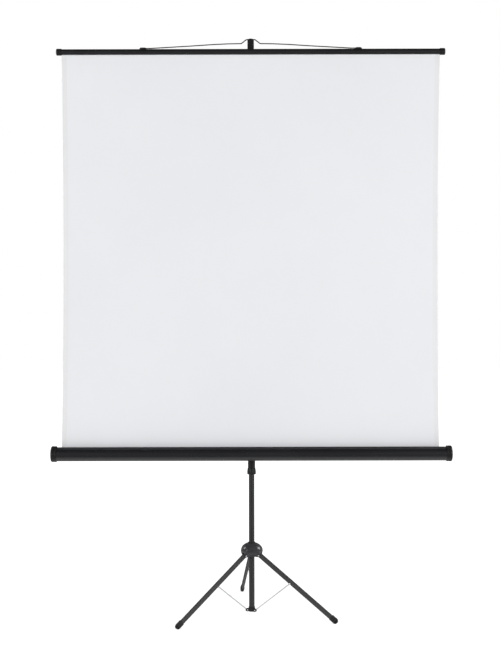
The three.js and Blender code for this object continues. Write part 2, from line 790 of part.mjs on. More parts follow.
function springWire(from) {
  const middle = (springShaftRadius + seatGap + springWireRadius) / Math.cos(Math.PI / springSteps);
  class Helix extends THREE.Curve {
    getPoint(t, target = new THREE.Vector3()) {
      const angle = t * springTurns * 2 * Math.PI;
      const along = from - t * springTurns * springPitch;
      return target.set(along, middle * Math.cos(angle), middle * Math.sin(angle));
    }
  }
  const helix = new Helix();
  const section = outline(arcPoints(0, 0, springWireRadius, 0, 360 - 360 / springSides, springSides));
  const steps = springTurns * springSteps;
  const wire = new THREE.ExtrudeGeometry(section, { steps, extrudePath: helix, bevelEnabled: false });

  // The least distance between neighbouring turns, less the wire's own thickness
  const points = helix.getSpacedPoints(steps);
  const turn = springSteps;
  let least = Infinity;
  for (let i = 0; i + turn / 2 < points.length; i += 1) {
    for (let j = i + turn / 2; j < points.length; j += 1) {
      least = Math.min(least, points[i].distanceTo(points[j]));
    }
  }
  console.log(`roller_spring: least gap to itself ${(least - 2 * springWireRadius).toFixed(2)} mm`);
  return wire;
}

function roller() {
  const place = (geometry) => alongX(geometry).translate(0, -rollerForward, caseHeight);
  const half = rollerLength / 2;
  const wrapHalf = fabricWidth / 2;
  piece('roller_tube', place(ring(rollerBore, rollerRadius, -half, half, medium)), bareAluminium);
  const wrap = ring(rollerRadius + seatGap, wrapRadius, -wrapHalf, wrapHalf, fine);
  piece('roller_wrap', place(wrap), whiteFabric);

  const plugRadius = rollerBore - seatGap;
  const inset = half - plugLength;
  const capSeat = caseLength / 2 + seatGap + gudgeonSeat;
  const blindEnd = -half + plugLength / 2;
  const gudgeonBore = gudgeonRadius + seatGap;
  piece('roller_plug_left', place(turned([
    [0, blindEnd + seatGap], [gudgeonBore, blindEnd + seatGap], [gudgeonBore, -half],
    [plugRadius, -half], [plugRadius, -inset], [0, -inset],
  ], medium)), whitePlastic);
  piece('idle_gudgeon', place(rod(gudgeonRadius, -capSeat, blindEnd, small)), silverSteel);
  const bearing = ring(springShaftRadius + runGap, plugRadius, inset, half, medium);
  piece('roller_plug_right', place(bearing), whitePlastic);
  const shaft = rod(springShaftRadius, capSeat - springShaftLength, capSeat, small);
  piece('spring_shaft', place(shaft), silverSteel);
  const spring = springWire(inset - springInset);
  piece('roller_spring', spring.translate(0, -rollerForward, caseHeight), springSteel);
}

// Fabric, keder and top bar

function fabricSheet() {
  const kederHeight = barHeight - (barRadius - barWall) + seatGap + kederRadius;
  const top = kederHeight - kederRadius - seatGap;
  const half = fabricWidth / 2;
  const middle = (caseHeight + top) / 2;
  const drawn = half - 2 * fabricDrawIn;
  const sheet = new THREE.Shape();
  sheet.moveTo(-half, caseHeight);
  sheet.lineTo(half, caseHeight);
  sheet.quadraticCurveTo(drawn, middle, half, top);
  sheet.lineTo(-half, top);
  sheet.quadraticCurveTo(-drawn, middle, -half, caseHeight);
  const geometry = new THREE.ExtrudeGeometry(sheet, { depth: fabricThickness, bevelEnabled: false });
  geometry.applyMatrix4(new THREE.Matrix4().makeBasis(axisX, axisZ, axisY.clone().negate()));
  piece('fabric', geometry.translate(0, -fabricForward + fabricThickness / 2, 0), whiteFabric);

  const keder = alongX(rod(kederRadius, -half, half, small));
  piece('fabric_keder', keder.translate(0, -fabricForward, kederHeight), whitePlastic);
}

function topBar() {
  const inner = barRadius - barWall;
  const wall = (radius) => {
    const slotAngle = Math.asin(barSlot / 2 / radius) / degree;
    return arcPoints(-fabricForward, barHeight, radius, -90 + slotAngle, 270 - slotAngle, medium);
  };
  const section = [...wall(barRadius), ...wall(inner).reverse()];
  piece('top_bar', prismX(section, -barLength / 2, barLength / 2), blackPaint);

  const seat = barLength / 2 + seatGap;
  const edge = fabricWidth / 2 + seatGap;
  const end = edge + barCapLength;
  const profile = [
    [0, seat], [barRadius + seatGap, seat], [barRadius + seatGap, edge], [barCapRadius, edge],
    ...arcPoints(barCapRadius - barCapRound, end - barCapRound, barCapRound, 0, 90, medium),
    [0, end],
  ];
  for (const [side, turn] of [['left', Math.PI], ['right', 0]]) {
    const cap = alongX(turned(profile, medium)).rotateZ(turn);
    piece(`top_bar_cap_${side}`, cap.translate(0, -fabricForward, barHeight), blackPlastic);
  }
}

// Bail: a stiff wire over the hook, with its ends turning in two lugs

function roundedPath(points, corner) {
  const path = [points[0]];
  for (let i = 1; i < points.length - 1; i += 1) {
    const before = points[i].clone().sub(points[i - 1]);
    const after = points[i + 1].clone().sub(points[i]);
    const trim = Math.min(corner, before.length() / 2, after.length() / 2);
    const enter = points[i].clone().addScaledVector(before.normalize(), -trim);
    const leave = points[i].clone().addScaledVector(after.normalize(), trim);
    path.push(...new THREE.QuadraticBezierCurve3(enter, points[i], leave).getPoints(bendSteps));
  }
  path.push(points[points.length - 1]);
  return path;
}

// A path whose steps are its own points, close together only where the wire bends
class BentWire extends THREE.Curve {
  constructor(points) {
    super();
    this.points = points;
  }

  getPoint(t, target = new THREE.Vector3()) {
    const place = t * (this.points.length - 1);
    const i = Math.min(Math.floor(place), this.points.length - 2);
    return target.lerpVectors(this.points[i], this.points[i + 1], place - i);
  }

  getPointAt(u, target) {
    return this.getPoint(u, target);
  }

  getTangentAt(u, target) {
    return this.getTangent(u, target);
  }
}

function bail() {
  const half = [
    [bailSpan / 2, 0], [bailFlat, 0], [bailFlank, bailFlankRise], [bailShoulder, bailShoulderRise],
    [bailCrown, bailCrownRise], [bailBumpBase, bailBumpBaseRise], [bailBumpTop, bailReach],
  ];
  const mirrored = half.map(([x, rise]) => [-x, rise]).reverse();
  const points = [...half, ...mirrored].map(([x, rise]) => new THREE.Vector3(
    x,
    -fabricForward + rise * Math.sin(bailLean),
    bailPivotHeight + rise * Math.cos(bailLean),
  ));
  const section = outline(arcPoints(0, 0, bailWireRadius, 0, 360 - 360 / wireSides, wireSides));
  const path = roundedPath(points, bailCorner);
  const extrudePath = new BentWire(path);
  const steps = path.length - 1;
  const wire = new THREE.ExtrudeGeometry(section, { steps, extrudePath, bevelEnabled: false });
  piece('bail_wire', wire, blackPaint);

  const reach = lugLength / 2;
  const low = barHeight + barRadius / 2;
  const edge = barHeight + barRadius + lugFoot;
  const top = bailPivotHeight + bailWireRadius + lugCover;
  for (const [side, way] of [['left', -1], ['right', 1]]) {
    const middle = way * (bailSpan / 2 - reach + lugSlope);
    const shape = [
      [middle - reach, low], [middle + reach, low], [middle + reach, edge],
      [middle + reach - lugSlope, top], [middle - reach + lugSlope, top], [middle - reach, edge],
    ];
    const lug = solid(prismY(shape, -fabricForward - lugWidth / 2, -fabricForward + lugWidth / 2));
    const tunnel = (radius, height) => alongX(rod(radius, middle - lugLength, middle + lugLength, medium))
      .translate(0, -fabricForward, height);
    const seat = tunnel(barRadius + seatGap, barHeight);
    const pivot = tunnel(bailWireRadius + seatGap, bailPivotHeight);
    piece(`bail_lug_${side}`, faces(carved(lug, seat, pivot)), blackPlastic);
  }
}

mast();
hub();
Object.keys(legAzimuths).forEach(leg);
extension();
carriage();
bracket();
caseShell();
roller();
fabricSheet();
topBar();
bail();

// The part's origin is on the floor, in the middle of its footprint
const extent = new THREE.Box3().setFromObject(screen, true);
const centre = extent.getCenter(new THREE.Vector3());
screen.position.set(-centre.x, -centre.y, -extent.min.z);

export default screen;
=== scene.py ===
import json
from math import acos, asin, atan2, cos, degrees, hypot, pi, radians, sin
from types import SimpleNamespace

import bmesh
import bpy
from mathutils import Matrix, Vector


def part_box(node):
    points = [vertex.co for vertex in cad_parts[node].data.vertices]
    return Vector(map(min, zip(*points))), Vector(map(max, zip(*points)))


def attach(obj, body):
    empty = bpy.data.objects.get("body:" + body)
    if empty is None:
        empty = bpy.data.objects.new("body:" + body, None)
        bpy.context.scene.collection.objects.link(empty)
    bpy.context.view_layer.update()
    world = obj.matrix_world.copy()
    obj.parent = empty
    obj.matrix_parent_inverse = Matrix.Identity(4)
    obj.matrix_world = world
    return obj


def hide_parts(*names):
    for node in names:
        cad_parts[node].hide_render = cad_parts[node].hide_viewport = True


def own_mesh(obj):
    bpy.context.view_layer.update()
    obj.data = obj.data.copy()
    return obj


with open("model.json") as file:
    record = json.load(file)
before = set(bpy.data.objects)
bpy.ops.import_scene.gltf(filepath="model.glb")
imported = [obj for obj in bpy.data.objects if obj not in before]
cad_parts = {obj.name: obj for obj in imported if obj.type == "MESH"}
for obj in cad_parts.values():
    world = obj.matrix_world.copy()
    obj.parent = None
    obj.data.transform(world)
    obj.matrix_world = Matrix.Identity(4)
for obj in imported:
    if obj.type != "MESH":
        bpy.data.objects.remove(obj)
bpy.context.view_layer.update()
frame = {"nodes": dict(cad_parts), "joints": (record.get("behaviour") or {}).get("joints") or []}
scene = bpy.context.scene
joints = {joint["name"]: joint for joint in frame["joints"]}
sides = ("left", "right", "rear")
print("frame loaded with", len(frame["nodes"]), "nodes")

# Shapes are drawn in millimetres from the mast's axis on the floor, then brought into the frame
millimetre = 0.001
mastSpot = Vector(joints["clamp_ring_twist"]["pos_m"])
toFrame = Matrix.Translation((mastSpot.x, mastSpot.y, 0)) @ Matrix.Scale(millimetre, 4)
toMillimetres = toFrame.inverted()


def at(x, y, z):
    return Matrix.Translation((x, y, z))


def turned(angle, axis):
    return Matrix.Rotation(angle, 4, axis)


# A piece's dictionary, to be read by its names
def opened(sizes):
    return SimpleNamespace(**sizes)


def jointSpot(name):
    return toMillimetres @ Vector(joints[name]["pos_m"])


def nodeSpan(name):
    low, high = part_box(name)
    return toMillimetres @ low, toMillimetres @ high


def addObject(name, data):
    item = bpy.data.objects.new(name, data)
    scene.collection.objects.link(item)
    return item


def meshFrom(name, bm):
    mesh = bpy.data.meshes.new(name)
    bm.to_mesh(mesh)
    bm.free()
    return mesh


# Camera: level but for a slight roll, with its horizon above the middle of the picture
viewpoint = {
    "distance": 5.0, "height": 1.38, "sideways": -0.0045, "roll": 0.12,
    "focalPixels": 1246, "horizonRow": 270, "pictureHeight": 661, "sensor": 36.0,
}


def makeCamera():
    v = opened(viewpoint)
    lens = bpy.data.cameras.new("photoCamera")
    lens.sensor_width = v.sensor
    lens.lens = v.sensor * v.focalPixels / v.pictureHeight
    lens.shift_y = (v.horizonRow - v.pictureHeight / 2) / v.pictureHeight
    camera = addObject("photoCamera", lens)
    camera.location = (v.sideways, mastSpot.y - v.distance, v.height)
    camera.rotation_euler = (pi / 2, radians(v.roll), 0)
    scene.camera = camera


makeCamera()
print("camera set")


# A node's inputs are given by name or number, each as a socket to link or a plain value
def fillNode(tree, node, inputs):
    for key, value in inputs.items():
        if isinstance(value, bpy.types.NodeSocket):
            tree.links.new(value, node.inputs[key])
        else:
            node.inputs[key].default_value = value
    return node


def addNode(tree, kind, inputs=None, **settings):
    node = tree.nodes.new("ShaderNode" + kind)
    for key, value in settings.items():
        setattr(node, key, value)
    return fillNode(tree, node, inputs or {})


def mixColor(tree, factor, first, second):
    return addNode(tree, "Mix", {0: factor, 6: first, 7: second}, data_type="RGBA").outputs[2]


def mixShader(tree, factor, first, second):
    return addNode(tree, "MixShader", {0: factor, 1: first, 2: second}).outputs[0]


def mapValue(tree, value, low, high, start=0.0, end=1.0):
    spread = {"Value": value, "From Min": start, "From Max": end, "To Min": low, "To Max": high}
    return addNode(tree, "MapRange", spread).outputs["Result"]


def calculate(tree, operation, first, second):
    return addNode(tree, "Math", {0: first, 1: second}, operation=operation).outputs[0]


def noise(tree, vector, scale, detail):
    return addNode(tree, "TexNoise", {"Vector": vector, "Scale": scale, "Detail": detail}).outputs["Fac"]


def gray(tone):
    return (tone, tone, tone, 1)


def newMaterial(name):
    material = bpy.data.materials.new(name)
    material.use_nodes = True
    return material, material.node_tree


def newGroup(name, inputs, outputs):
    group = bpy.data.node_groups.new(name, "ShaderNodeTree")
    for way, sockets in (("INPUT", inputs), ("OUTPUT", outputs)):
        for label, kind in sockets.items():
            group.interface.new_socket(label, in_out=way, socket_type="NodeSocket" + kind)
    return group, group.nodes.new("NodeGroupInput").outputs, group.nodes.new("NodeGroupOutput")


def useGroup(tree, group, **inputs):
    return addNode(tree, "Group", inputs, node_tree=group).outputs


# Effects that several finishes share; a span is where noise or slope goes from none to all
effects = {
    "grainDetail": 3, "driftDetail": 5, "driftSpan": (0.3, 0.7), "streakDetail": 4, "streakSpan": (0.52, 0.8),
    "dustScale": 60, "dustDetail": 6, "upwardSpan": (0.35, 1.0),
    "edgeRadius": 0.0012, "edgeSamples": 4, "edgeSpan": (0.08, 0.5),
    "patchScale": 140, "patchDetail": 5, "patchSpan": (0.42, 0.68),
}


def makeGrain():
    group, given, result = newGroup("fineGrain", {"Vector": "Vector", "Scale": "Float"}, {"Height": "Float"})
    coarse = noise(group, given["Vector"], given["Scale"], effects["grainDetail"])
    cells = {"Vector": given["Vector"], "Scale": given["Scale"]}
    fine = addNode(group, "TexVoronoi", cells, feature="SMOOTH_F1")
    fillNode(group, result, {"Height": calculate(group, "ADD", coarse, fine.outputs["Distance"])})
    return group


def makeToneDrift():
    inputs = {"Vector": "Vector", "Scale": "Float", "Dark": "Color", "Light": "Color"}
    group, given, result = newGroup("toneDrift", inputs, {"Color": "Color", "Drift": "Float"})
    clouds = noise(group, given["Vector"], given["Scale"], effects["driftDetail"])
    drift = mapValue(group, clouds, 0, 1, *effects["driftSpan"])
    color = mixColor(group, drift, given["Dark"], given["Light"])
    fillNode(group, result, {"Color": color, "Drift": drift})
    return group


def makeRubMarks():
    inputs = {"Vector": "Vector", "Stretch": "Vector", "Amount": "Float"}
    group, given, result = newGroup("rubMarks", inputs, {"Mask": "Float"})
    stretched = addNode(group, "VectorMath", {0: given["Vector"], 1: given["Stretch"]}, operation="MULTIPLY")
    streaks = noise(group, stretched.outputs[0], 1, effects["streakDetail"])
    marks = mapValue(group, streaks, 0, 1, *effects["streakSpan"])
    fillNode(group, result, {"Mask": calculate(group, "MULTIPLY", marks, given["Amount"])})
    return group


def makeSettledDust():
    inputs = {"Vector": "Vector", "Amount": "Float"}
    group, given, result = newGroup("settledDust", inputs, {"Mask": "Float", "Upward": "Float"})
    normal = addNode(group, "NewGeometry").outputs["Normal"]
    slope = addNode(group, "SeparateXYZ", {0: normal}).outputs["Z"]
    upward = mapValue(group, slope, 0, 1, *effects["upwardSpan"])
    specks = noise(group, given["Vector"], effects["dustScale"], effects["dustDetail"])
    lying = calculate(group, "MULTIPLY", upward, specks)
    fillNode(group, result, {"Mask": calculate(group, "MULTIPLY", lying, given["Amount"]), "Upward": upward})
    return group


# Edges that hands and floors have rubbed, broken up by noise
def makeWornEdges():
    inputs = {"Vector": "Vector", "Amount": "Float"}
    group, given, result = newGroup("wornEdges", inputs, {"Mask": "Float"})
    rounded = addNode(group, "Bevel", {"Radius": effects["edgeRadius"]}, samples=effects["edgeSamples"])
    plain = addNode(group, "NewGeometry")
    normals = {0: rounded.outputs["Normal"], 1: plain.outputs["Normal"]}
    apart = addNode(group, "VectorMath", normals, operation="DISTANCE").outputs["Value"]
    patches = noise(group, given["Vector"], effects["patchScale"], effects["patchDetail"])
    broken = mapValue(group, patches, 0, 1, *effects["patchSpan"])
    worn = calculate(group, "MULTIPLY", mapValue(group, apart, 0, 1, *effects["edgeSpan"]), broken)
    fillNode(group, result, {"Mask": calculate(group, "MULTIPLY", worn, given["Amount"])})
    return group


fineGrain = makeGrain()
toneDrift = makeToneDrift()
rubMarks = makeRubMarks()
settledDust = makeSettledDust()
wornEdges = makeWornEdges()

# Finishes: two tones, a range of roughness, grain per metre, bump in metres, streaks, worn edges and dust
blackPaint = {"slot": "black_paint", "drift": 9, "roughness": (0.42, 0.54), "grain": 900, "bump": 0.00005,
              "streaks": (60, 60, 5), "rub": 0.25, "dust": 0.03, "edge": 0.35, "specular": 0.4}
blackPlastic = {"slot": "black_plastic", "drift": 25, "grain": 1800, "streaks": (40, 40, 40), "rub": 0.2,
                "edge": 0.25}
metal = {"metallic": 1, "specular": 0.5, "bump": 0.00002}
finishes = {
    "satinBlackPaint": {
        **blackPaint, "dark": (0.007, 0.007, 0.0078), "light": (0.011, 0.011, 0.012), "streaks": (5, 60, 60),
        "specular": 0.36,
    },
    # Painted light: the mast's paint is a lighter copy of the black paint, standing in for the light the mast
    # catches
    "litMastPaint": {**blackPaint, "dark": (0.0135, 0.0135, 0.014), "light": (0.0215, 0.0215, 0.0222)},
    # Painted light: the legs' paint is a lighter copy of the black paint, standing in for the light their
    # sloping tops catch
    "litLegPaint": {
        **blackPaint, "dark": (0.027, 0.027, 0.028), "light": (0.039, 0.039, 0.04), "roughness": (0.44, 0.58),
    },
    "caseLacquer": {
        "slot": "case_paint", "dark": (0.0075, 0.0077, 0.0094), "light": (0.0105, 0.0108, 0.0128), "drift": 5,
        "roughness": (0.24, 0.32), "grain": 1400, "bump": 0.000012, "streaks": (2, 90, 90), "rub": 0.2,
        "dust": 0.015, "edge": 0.3, "specular": 0.5, "dulling": 0.85,
    },
    "mouldedBlack": {
        **blackPlastic, "dark": (0.005, 0.005, 0.0058), "light": (0.0085, 0.0085, 0.0096),
        "roughness": (0.42, 0.54), "bump": 0.00004, "dust": 0.03, "specular": 0.34,
    },
    "glossyBlack": {
        **blackPlastic, "dark": (0.026, 0.026, 0.0295), "light": (0.038, 0.0378, 0.042),
        "roughness": (0.22, 0.32), "bump": 0.00003, "dust": 0.05, "specular": 0.5,
    },
    "bootRubber": {
        "slot": "black_rubber", "dark": (0.008, 0.008, 0.008), "light": (0.018, 0.018, 0.018), "drift": 40,
        "roughness": (0.62, 0.82), "grain": 1100, "bump": 0.0001, "streaks": (80, 80, 30), "rub": 0.5,
        "dust": 0.14, "edge": 0.3, "specular": 0.3,
    },
    "brightZinc": {
        **metal, "slot": "silver_steel", "dark": (0.53, 0.54, 0.55), "light": (0.65, 0.66, 0.67), "drift": 70,
        "roughness": (0.3, 0.44), "grain": 2200, "streaks": (300, 300, 40), "rub": 0.4, "dust": 0.03,
        "edge": 0.3,
    },
    "drawnAluminium": {
        **metal, "slot": "bare_aluminium", "dark": (0.5, 0.51, 0.52), "light": (0.6, 0.61, 0.62), "drift": 12,
        "roughness": (0.26, 0.36), "grain": 1600, "streaks": (400, 400, 3), "rub": 0.5, "dust": 0.02,
        "edge": 0.2,
    },
    "oiledSpring": {
        **metal, "dark": (0.2, 0.2, 0.22), "light": (0.33, 0.33, 0.35), "drift": 90,
        "roughness": (0.25, 0.42), "grain": 1500, "streaks": (200, 200, 200), "rub": 0.3, "dust": 0,
        "edge": 0.2,
    },
    "naturalPlastic": {
        "dark": (0.6, 0.59, 0.56), "light": (0.7, 0.69, 0.66), "drift": 30, "roughness": (0.4, 0.52),
        "grain": 1200, "bump": 0.00003, "streaks": (50, 50, 50), "rub": 0.2, "dust": 0, "edge": 0.1,
        "specular": 0.5,
    },
}
wear = {
    "bareLift": 4, "driftShare": 0.6, "glanceSpan": (0.4, 0.8), "dustedSpan": (0.5, 0.8), "bumpStrength": 0.6,
    "dustColor": (0.3, 0.29, 0.275, 1),
}


def makeFinish(name):
    r = opened({"metallic": 0, "dulling": 0, **finishes[name]})
    w = opened(wear)
    material, tree = newMaterial(name)
    place = addNode(tree, "TexCoord").outputs["Object"]
    tone = useGroup(tree, toneDrift, Vector=place, Scale=r.drift, Dark=r.dark + (1,), Light=r.light + (1,))
    rub = useGroup(tree, rubMarks, Vector=place, Stretch=r.streaks, Amount=r.rub)
    dust = useGroup(tree, settledDust, Vector=place, Amount=r.dust)
    grain = useGroup(tree, fineGrain, Vector=place, Scale=r.grain)
    edges = useGroup(tree, wornEdges, Vector=place, Amount=r.edge)
    bare = tuple(min(1, value * w.bareLift) for value in r.light) + (1,)
    used = mixColor(tree, edges["Mask"], tone["Color"], bare)
    worn = calculate(tree, "ADD", rub["Mask"], calculate(tree, "MULTIPLY", tone["Drift"], w.driftShare))
    roughness = mapValue(tree, worn, *r.roughness)
    if not r.metallic:  # coatings lose their sheen at a glance and under dust
        facing = addNode(tree, "LayerWeight").outputs["Facing"]
        dulled = mapValue(tree, facing, 0, 1, *w.glanceSpan)
        dusted = mapValue(tree, dust["Upward"], 0, r.dulling, *w.dustedSpan)
        roughness = calculate(tree, "MAXIMUM", roughness, calculate(tree, "MAXIMUM", dulled, dusted))
    bump = addNode(tree, "Bump", {"Strength": w.bumpStrength, "Distance": r.bump, "Height": grain["Height"]})
    fillNode(tree, tree.nodes["Principled BSDF"], {
        "Base Color": mixColor(tree, dust["Mask"], used, w.dustColor), "Roughness": roughness,
        "Normal": bump.outputs["Normal"], "Metallic": r.metallic, "Specular IOR Level": r.specular,
    })
    return material


finish = {name: makeFinish(name) for name in finishes}
slots = {name: recipe["slot"] for name, recipe in finishes.items() if "slot" in recipe}

# Fabric: a matt coated front, a dark backing, a band of hem along each side, and painted shade along its foot
cloth = {
    "width": 1499, "threads": 1.1, "hemWidth": 20, "hemSeam": 0.001, "driftScale": 1.6, "specular": 0.25,
    "weaveDepth": 0.00004, "weaveStrength": 0.35, "wavesPerThread": 0.5,
    "footShade": (0.97, 0.002, 0.02),  # painted shade at the sheet's foot by the case: how dark it gets, and where it starts and ends
}
clothTones = {
    "mattWhiteCloth": {
        "tone": (0.826, 0.834, 0.857, 1), "shade": (0.801, 0.809, 0.833, 1), "hem": (0.79, 0.793, 0.803, 1),
        "roughness": (0.78, 0.9),
    },
    "darkBackedCloth": {
        "tone": (0.03, 0.03, 0.033, 1), "shade": (0.022, 0.022, 0.024, 1), "hem": (0.022, 0.022, 0.024, 1),
        "roughness": (0.7, 0.85),
    },
}


def makeCloth(name):
    c = opened({**cloth, **clothTones[name]})
    material, tree = newMaterial(name)
    coords = addNode(tree, "TexCoord").outputs
    drift = useGroup(tree, toneDrift, Vector=coords["Object"], Scale=c.driftScale, Dark=c.shade, Light=c.tone)
    spot = addNode(tree, "SeparateXYZ", {0: coords["UV"]}).outputs
    fromMiddle = calculate(tree, "ABSOLUTE", calculate(tree, "SUBTRACT", spot["X"], 0.5), 0)
    hemStart = 0.5 - c.hemWidth / c.width
    onHem = mapValue(tree, fromMiddle, 0, 1, hemStart, hemStart + c.hemSeam)
    hemmed = mixColor(tree, onHem, drift["Color"], c.hem)
    # Painted shade: the sheet darkens towards its foot, where the case shades it
    footShadeFactor, footStart, footEnd = c.footShade
    atFoot = mapValue(tree, spot["Y"], 1, 0, footStart, footEnd)
    paintedShadeTone = tuple(value * footShadeFactor for value in c.shade[:3]) + (1,)
    count = c.width / c.threads
    stretch = {"Vector": coords["UV"], "Scale": (count, count, count)}
    weave = addNode(tree, "Mapping", stretch).outputs["Vector"]
    threads = []
    for way in ("X", "Y"):
        wave = {"Vector": weave, "Scale": c.wavesPerThread}
        threads.append(addNode(tree, "TexWave", wave, wave_type="BANDS", bands_direction=way).outputs["Fac"])
    crossed = calculate(tree, "MULTIPLY", *threads)
    bump = addNode(tree, "Bump", {"Strength": c.weaveStrength, "Distance": c.weaveDepth, "Height": crossed})
    fillNode(tree, tree.nodes["Principled BSDF"], {
        "Base Color": mixColor(tree, atFoot, hemmed, paintedShadeTone), "Roughness": mapValue(tree, crossed, *c.roughness),
        "Normal": bump.outputs["Normal"], "Specular IOR Level": c.specular,
    })
    return material


for name in clothTones:
    finish[name] = makeCloth(name)
    slots[name] = "screen_fabric"
print("finishes made:", len(finish))

# Shape helpers; each gives a bmesh in millimetres
upright = Matrix.Identity(4)
lyingAlongX = turned(pi / 2, "Y")
lyingAlongY = turned(-pi / 2, "X")
facingFront = turned(pi / 2, "X")
endTurns = {"left": pi, "right": 0}
shaping = {"weld": 0.0005, "cutWeld": 0.002, "flatAngle": 0.5, "drillEdge": 0.1}


# Places evenly spread on a circle around the Z axis
def around(count, radius):
    return [turned(2 * pi * number / count, "Z") @ at(radius, 0, 0) for number in range(count)]


def arc(centreA, centreB, radius, start, end, steps):
    turns = [radians(start + (end - start) * step / steps) for step in range(steps + 1)]
    return [(centreA + radius * cos(turn), centreB + radius * sin(turn)) for turn in turns]


def placed(bm, matrix):
    bmesh.ops.transform(bm, matrix=matrix, verts=bm.verts)
    return bm


def facedOut(bm):
    bmesh.ops.recalc_face_normals(bm, faces=bm.faces)
    return bm


def lathe(profile, steps=64, place=upright, closed=False):
    bm = bmesh.new()
    verts = [bm.verts.new((radius, 0, height)) for radius, height in profile]
    edges = [bm.edges.new(pair) for pair in zip(verts, verts[1:])]
    if closed:
        edges.append(bm.edges.new((verts[-1], verts[0])))
    bmesh.ops.spin(bm, geom=verts + edges, cent=(0, 0, 0), axis=(0, 0, 1), dvec=(0, 0, 0),
                   angle=2 * pi, steps=steps, use_merge=True)
    bmesh.ops.remove_doubles(bm, verts=bm.verts, dist=shaping["weld"])
    return placed(facedOut(bm), place)


# A straight wall or rod with its outer edges cut
def edgedProfile(inner, outer, low, high, edge):
    return [
        (inner, low), (outer - edge, low), (outer, low + edge),
        (outer, high - edge), (outer - edge, high), (inner, high),
    ]


def tube(inner, outer, low, high, edge=0.4, steps=64, place=upright):
    return lathe(edgedProfile(inner, outer, low, high, edge), steps, place, closed=True)


def rod(radius, low, high, edge=0.3, steps=48, place=upright):
    return lathe(edgedProfile(0, radius, low, high, edge), steps, place)


def drill(radius, low, high, steps=64, place=upright):
    return rod(radius, low, high, shaping["drillEdge"], steps, place)


# An outline pushed along an axis: (y, z) points along X, (x, z) along Y, (x, y) along Z
def prism(outline, low, high, axis):
    bm = bmesh.new()
    turn = {"X": (2, 0, 1), "Y": (0, 2, 1), "Z": (0, 1, 2)}[axis]
    spots = [tuple((a, b, low)[index] for index in turn) for a, b in outline]
    face = bm.faces.new([bm.verts.new(spot) for spot in spots])
    pushed = bmesh.ops.extrude_face_region(bm, geom=[face])
    moved = [item for item in pushed["geom"] if isinstance(item, bmesh.types.BMVert)]
    bmesh.ops.translate(bm, verts=moved, vec=[(0, 0, high - low)[index] for index in turn])
    return facedOut(bm)


# Two half rounds joined by flats
def oval(width, thickness, steps=14):
    reach = (width - thickness) / 2
    radius = thickness / 2
    return arc(reach, 0, radius, -90, 90, steps)[:-1] + arc(-reach, 0, radius, 90, 270, steps)[:-1]


# An (x, y) outline drawn out through rings of (share of x, share of y, height)
def drawnOut(outline, rings):
    bm = bmesh.new()
    wide, deep, height = rings[0]
    face = bm.faces.new([bm.verts.new((x * wide, y * deep, height)) for x, y in outline])
    for nextWide, nextDeep, nextHeight in rings[1:]:
        pushed = bmesh.ops.extrude_face_region(bm, geom=[face])["geom"]
        face = next(item for item in pushed if isinstance(item, bmesh.types.BMFace))
        bmesh.ops.scale(bm, vec=(nextWide / wide, nextDeep / deep, 1), verts=face.verts)
        bmesh.ops.translate(bm, vec=(0, 0, nextHeight - height), verts=face.verts)
        wide, deep, height = nextWide, nextDeep, nextHeight
    return facedOut(bm)


def block(low, high):
    bm = bmesh.new()
    bmesh.ops.create_cube(bm, size=1)
    middle = (Vector(low) + Vector(high)) / 2
    size = Vector(high) - Vector(low)
    return placed(bm, Matrix.Translation(middle) @ Matrix.Diagonal(size.to_4d()))


def looseObject(bm):
    return addObject("workShape", meshFrom("workMesh", bm))


def combined(operation, body, *tools):
    base = looseObject(body)
    cutters = [looseObject(tool) for tool in tools]
    for cutter in cutters:
        step = base.modifiers.new("combine", "BOOLEAN")
        step.operation = operation
        step.solver = "EXACT"
        step.object = cutter
    bm = bmesh.new()
    bm.from_object(base, bpy.context.evaluated_depsgraph_get())
    for work in [base, *cutters]:
        mesh = work.data
        bpy.data.objects.remove(work)
        bpy.data.meshes.remove(mesh)
    bmesh.ops.remove_doubles(bm, verts=bm.verts, dist=shaping["cutWeld"])
    flat = radians(shaping["flatAngle"])
    bmesh.ops.dissolve_limit(bm, angle_limit=flat, verts=bm.verts, edges=bm.edges)
    return bm


def united(*shapes):
    return combined("UNION", *shapes)


def carved(*shapes):
    return combined("DIFFERENCE", *shapes)


def softened(bm, width, segments=2, sharp=32):
    bm.normal_update()
    limit = radians(sharp)
    edges = [edge for edge in bm.edges if len(edge.link_faces) == 2 and edge.calc_face_angle(0) > limit]
    bmesh.ops.bevel(bm, geom=edges, offset=width, offset_type="OFFSET", segments=segments, profile=0.5,
                    affect="EDGES", clamp_overlap=True, material=-1)
    return bm


# What a piece moves with, and which node it stands for
def declare(piece, body, node):
    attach(piece, body)
    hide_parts(node)


def makePiece(name, bm, body, kind, node, smooth=20):
    mesh = meshFrom(name, placed(facedOut(bm), toFrame))
    mesh.shade_smooth()
    mesh.set_sharp_from_angle(angle=radians(smooth))
    mesh.materials.append(finish[kind])
    declare(addObject(name, mesh), body, node)


# Rivets and screws along Z
rivetSizes = {"dome": 1.8, "domeSteps": 6, "steps": 32}
screwShares = {  # of a screw's own radius, head and height
    "crown": 0.45, "point": 0.6, "brow": 0.8, "browDrop": 0.35, "flat": 0.45, "recess": 0.55, "blade": 0.11,
    "depth": 0.5, "above": 2, "steps": 32,
}


def domeRise(headRadius):
    turns = [radians(90 * step / rivetSizes["domeSteps"]) for step in range(rivetSizes["domeSteps"] + 1)]
    return [(headRadius * cos(turn), rivetSizes["dome"] * sin(turn)) for turn in turns]


def rivetShape(radius, headRadius, low, high):
    rise = domeRise(headRadius)
    below = [(across, low - up) for across, up in reversed(rise)]
    above = [(across, high + up) for across, up in rise]
    return lathe(below + [(radius, low), (radius, high)] + above, rivetSizes["steps"])


def studShape(radius, headRadius, low, seat):
    head = [(across, seat + up) for across, up in domeRise(headRadius)]
    return lathe([(0, low), (radius, low), (radius, seat)] + head, rivetSizes["steps"])


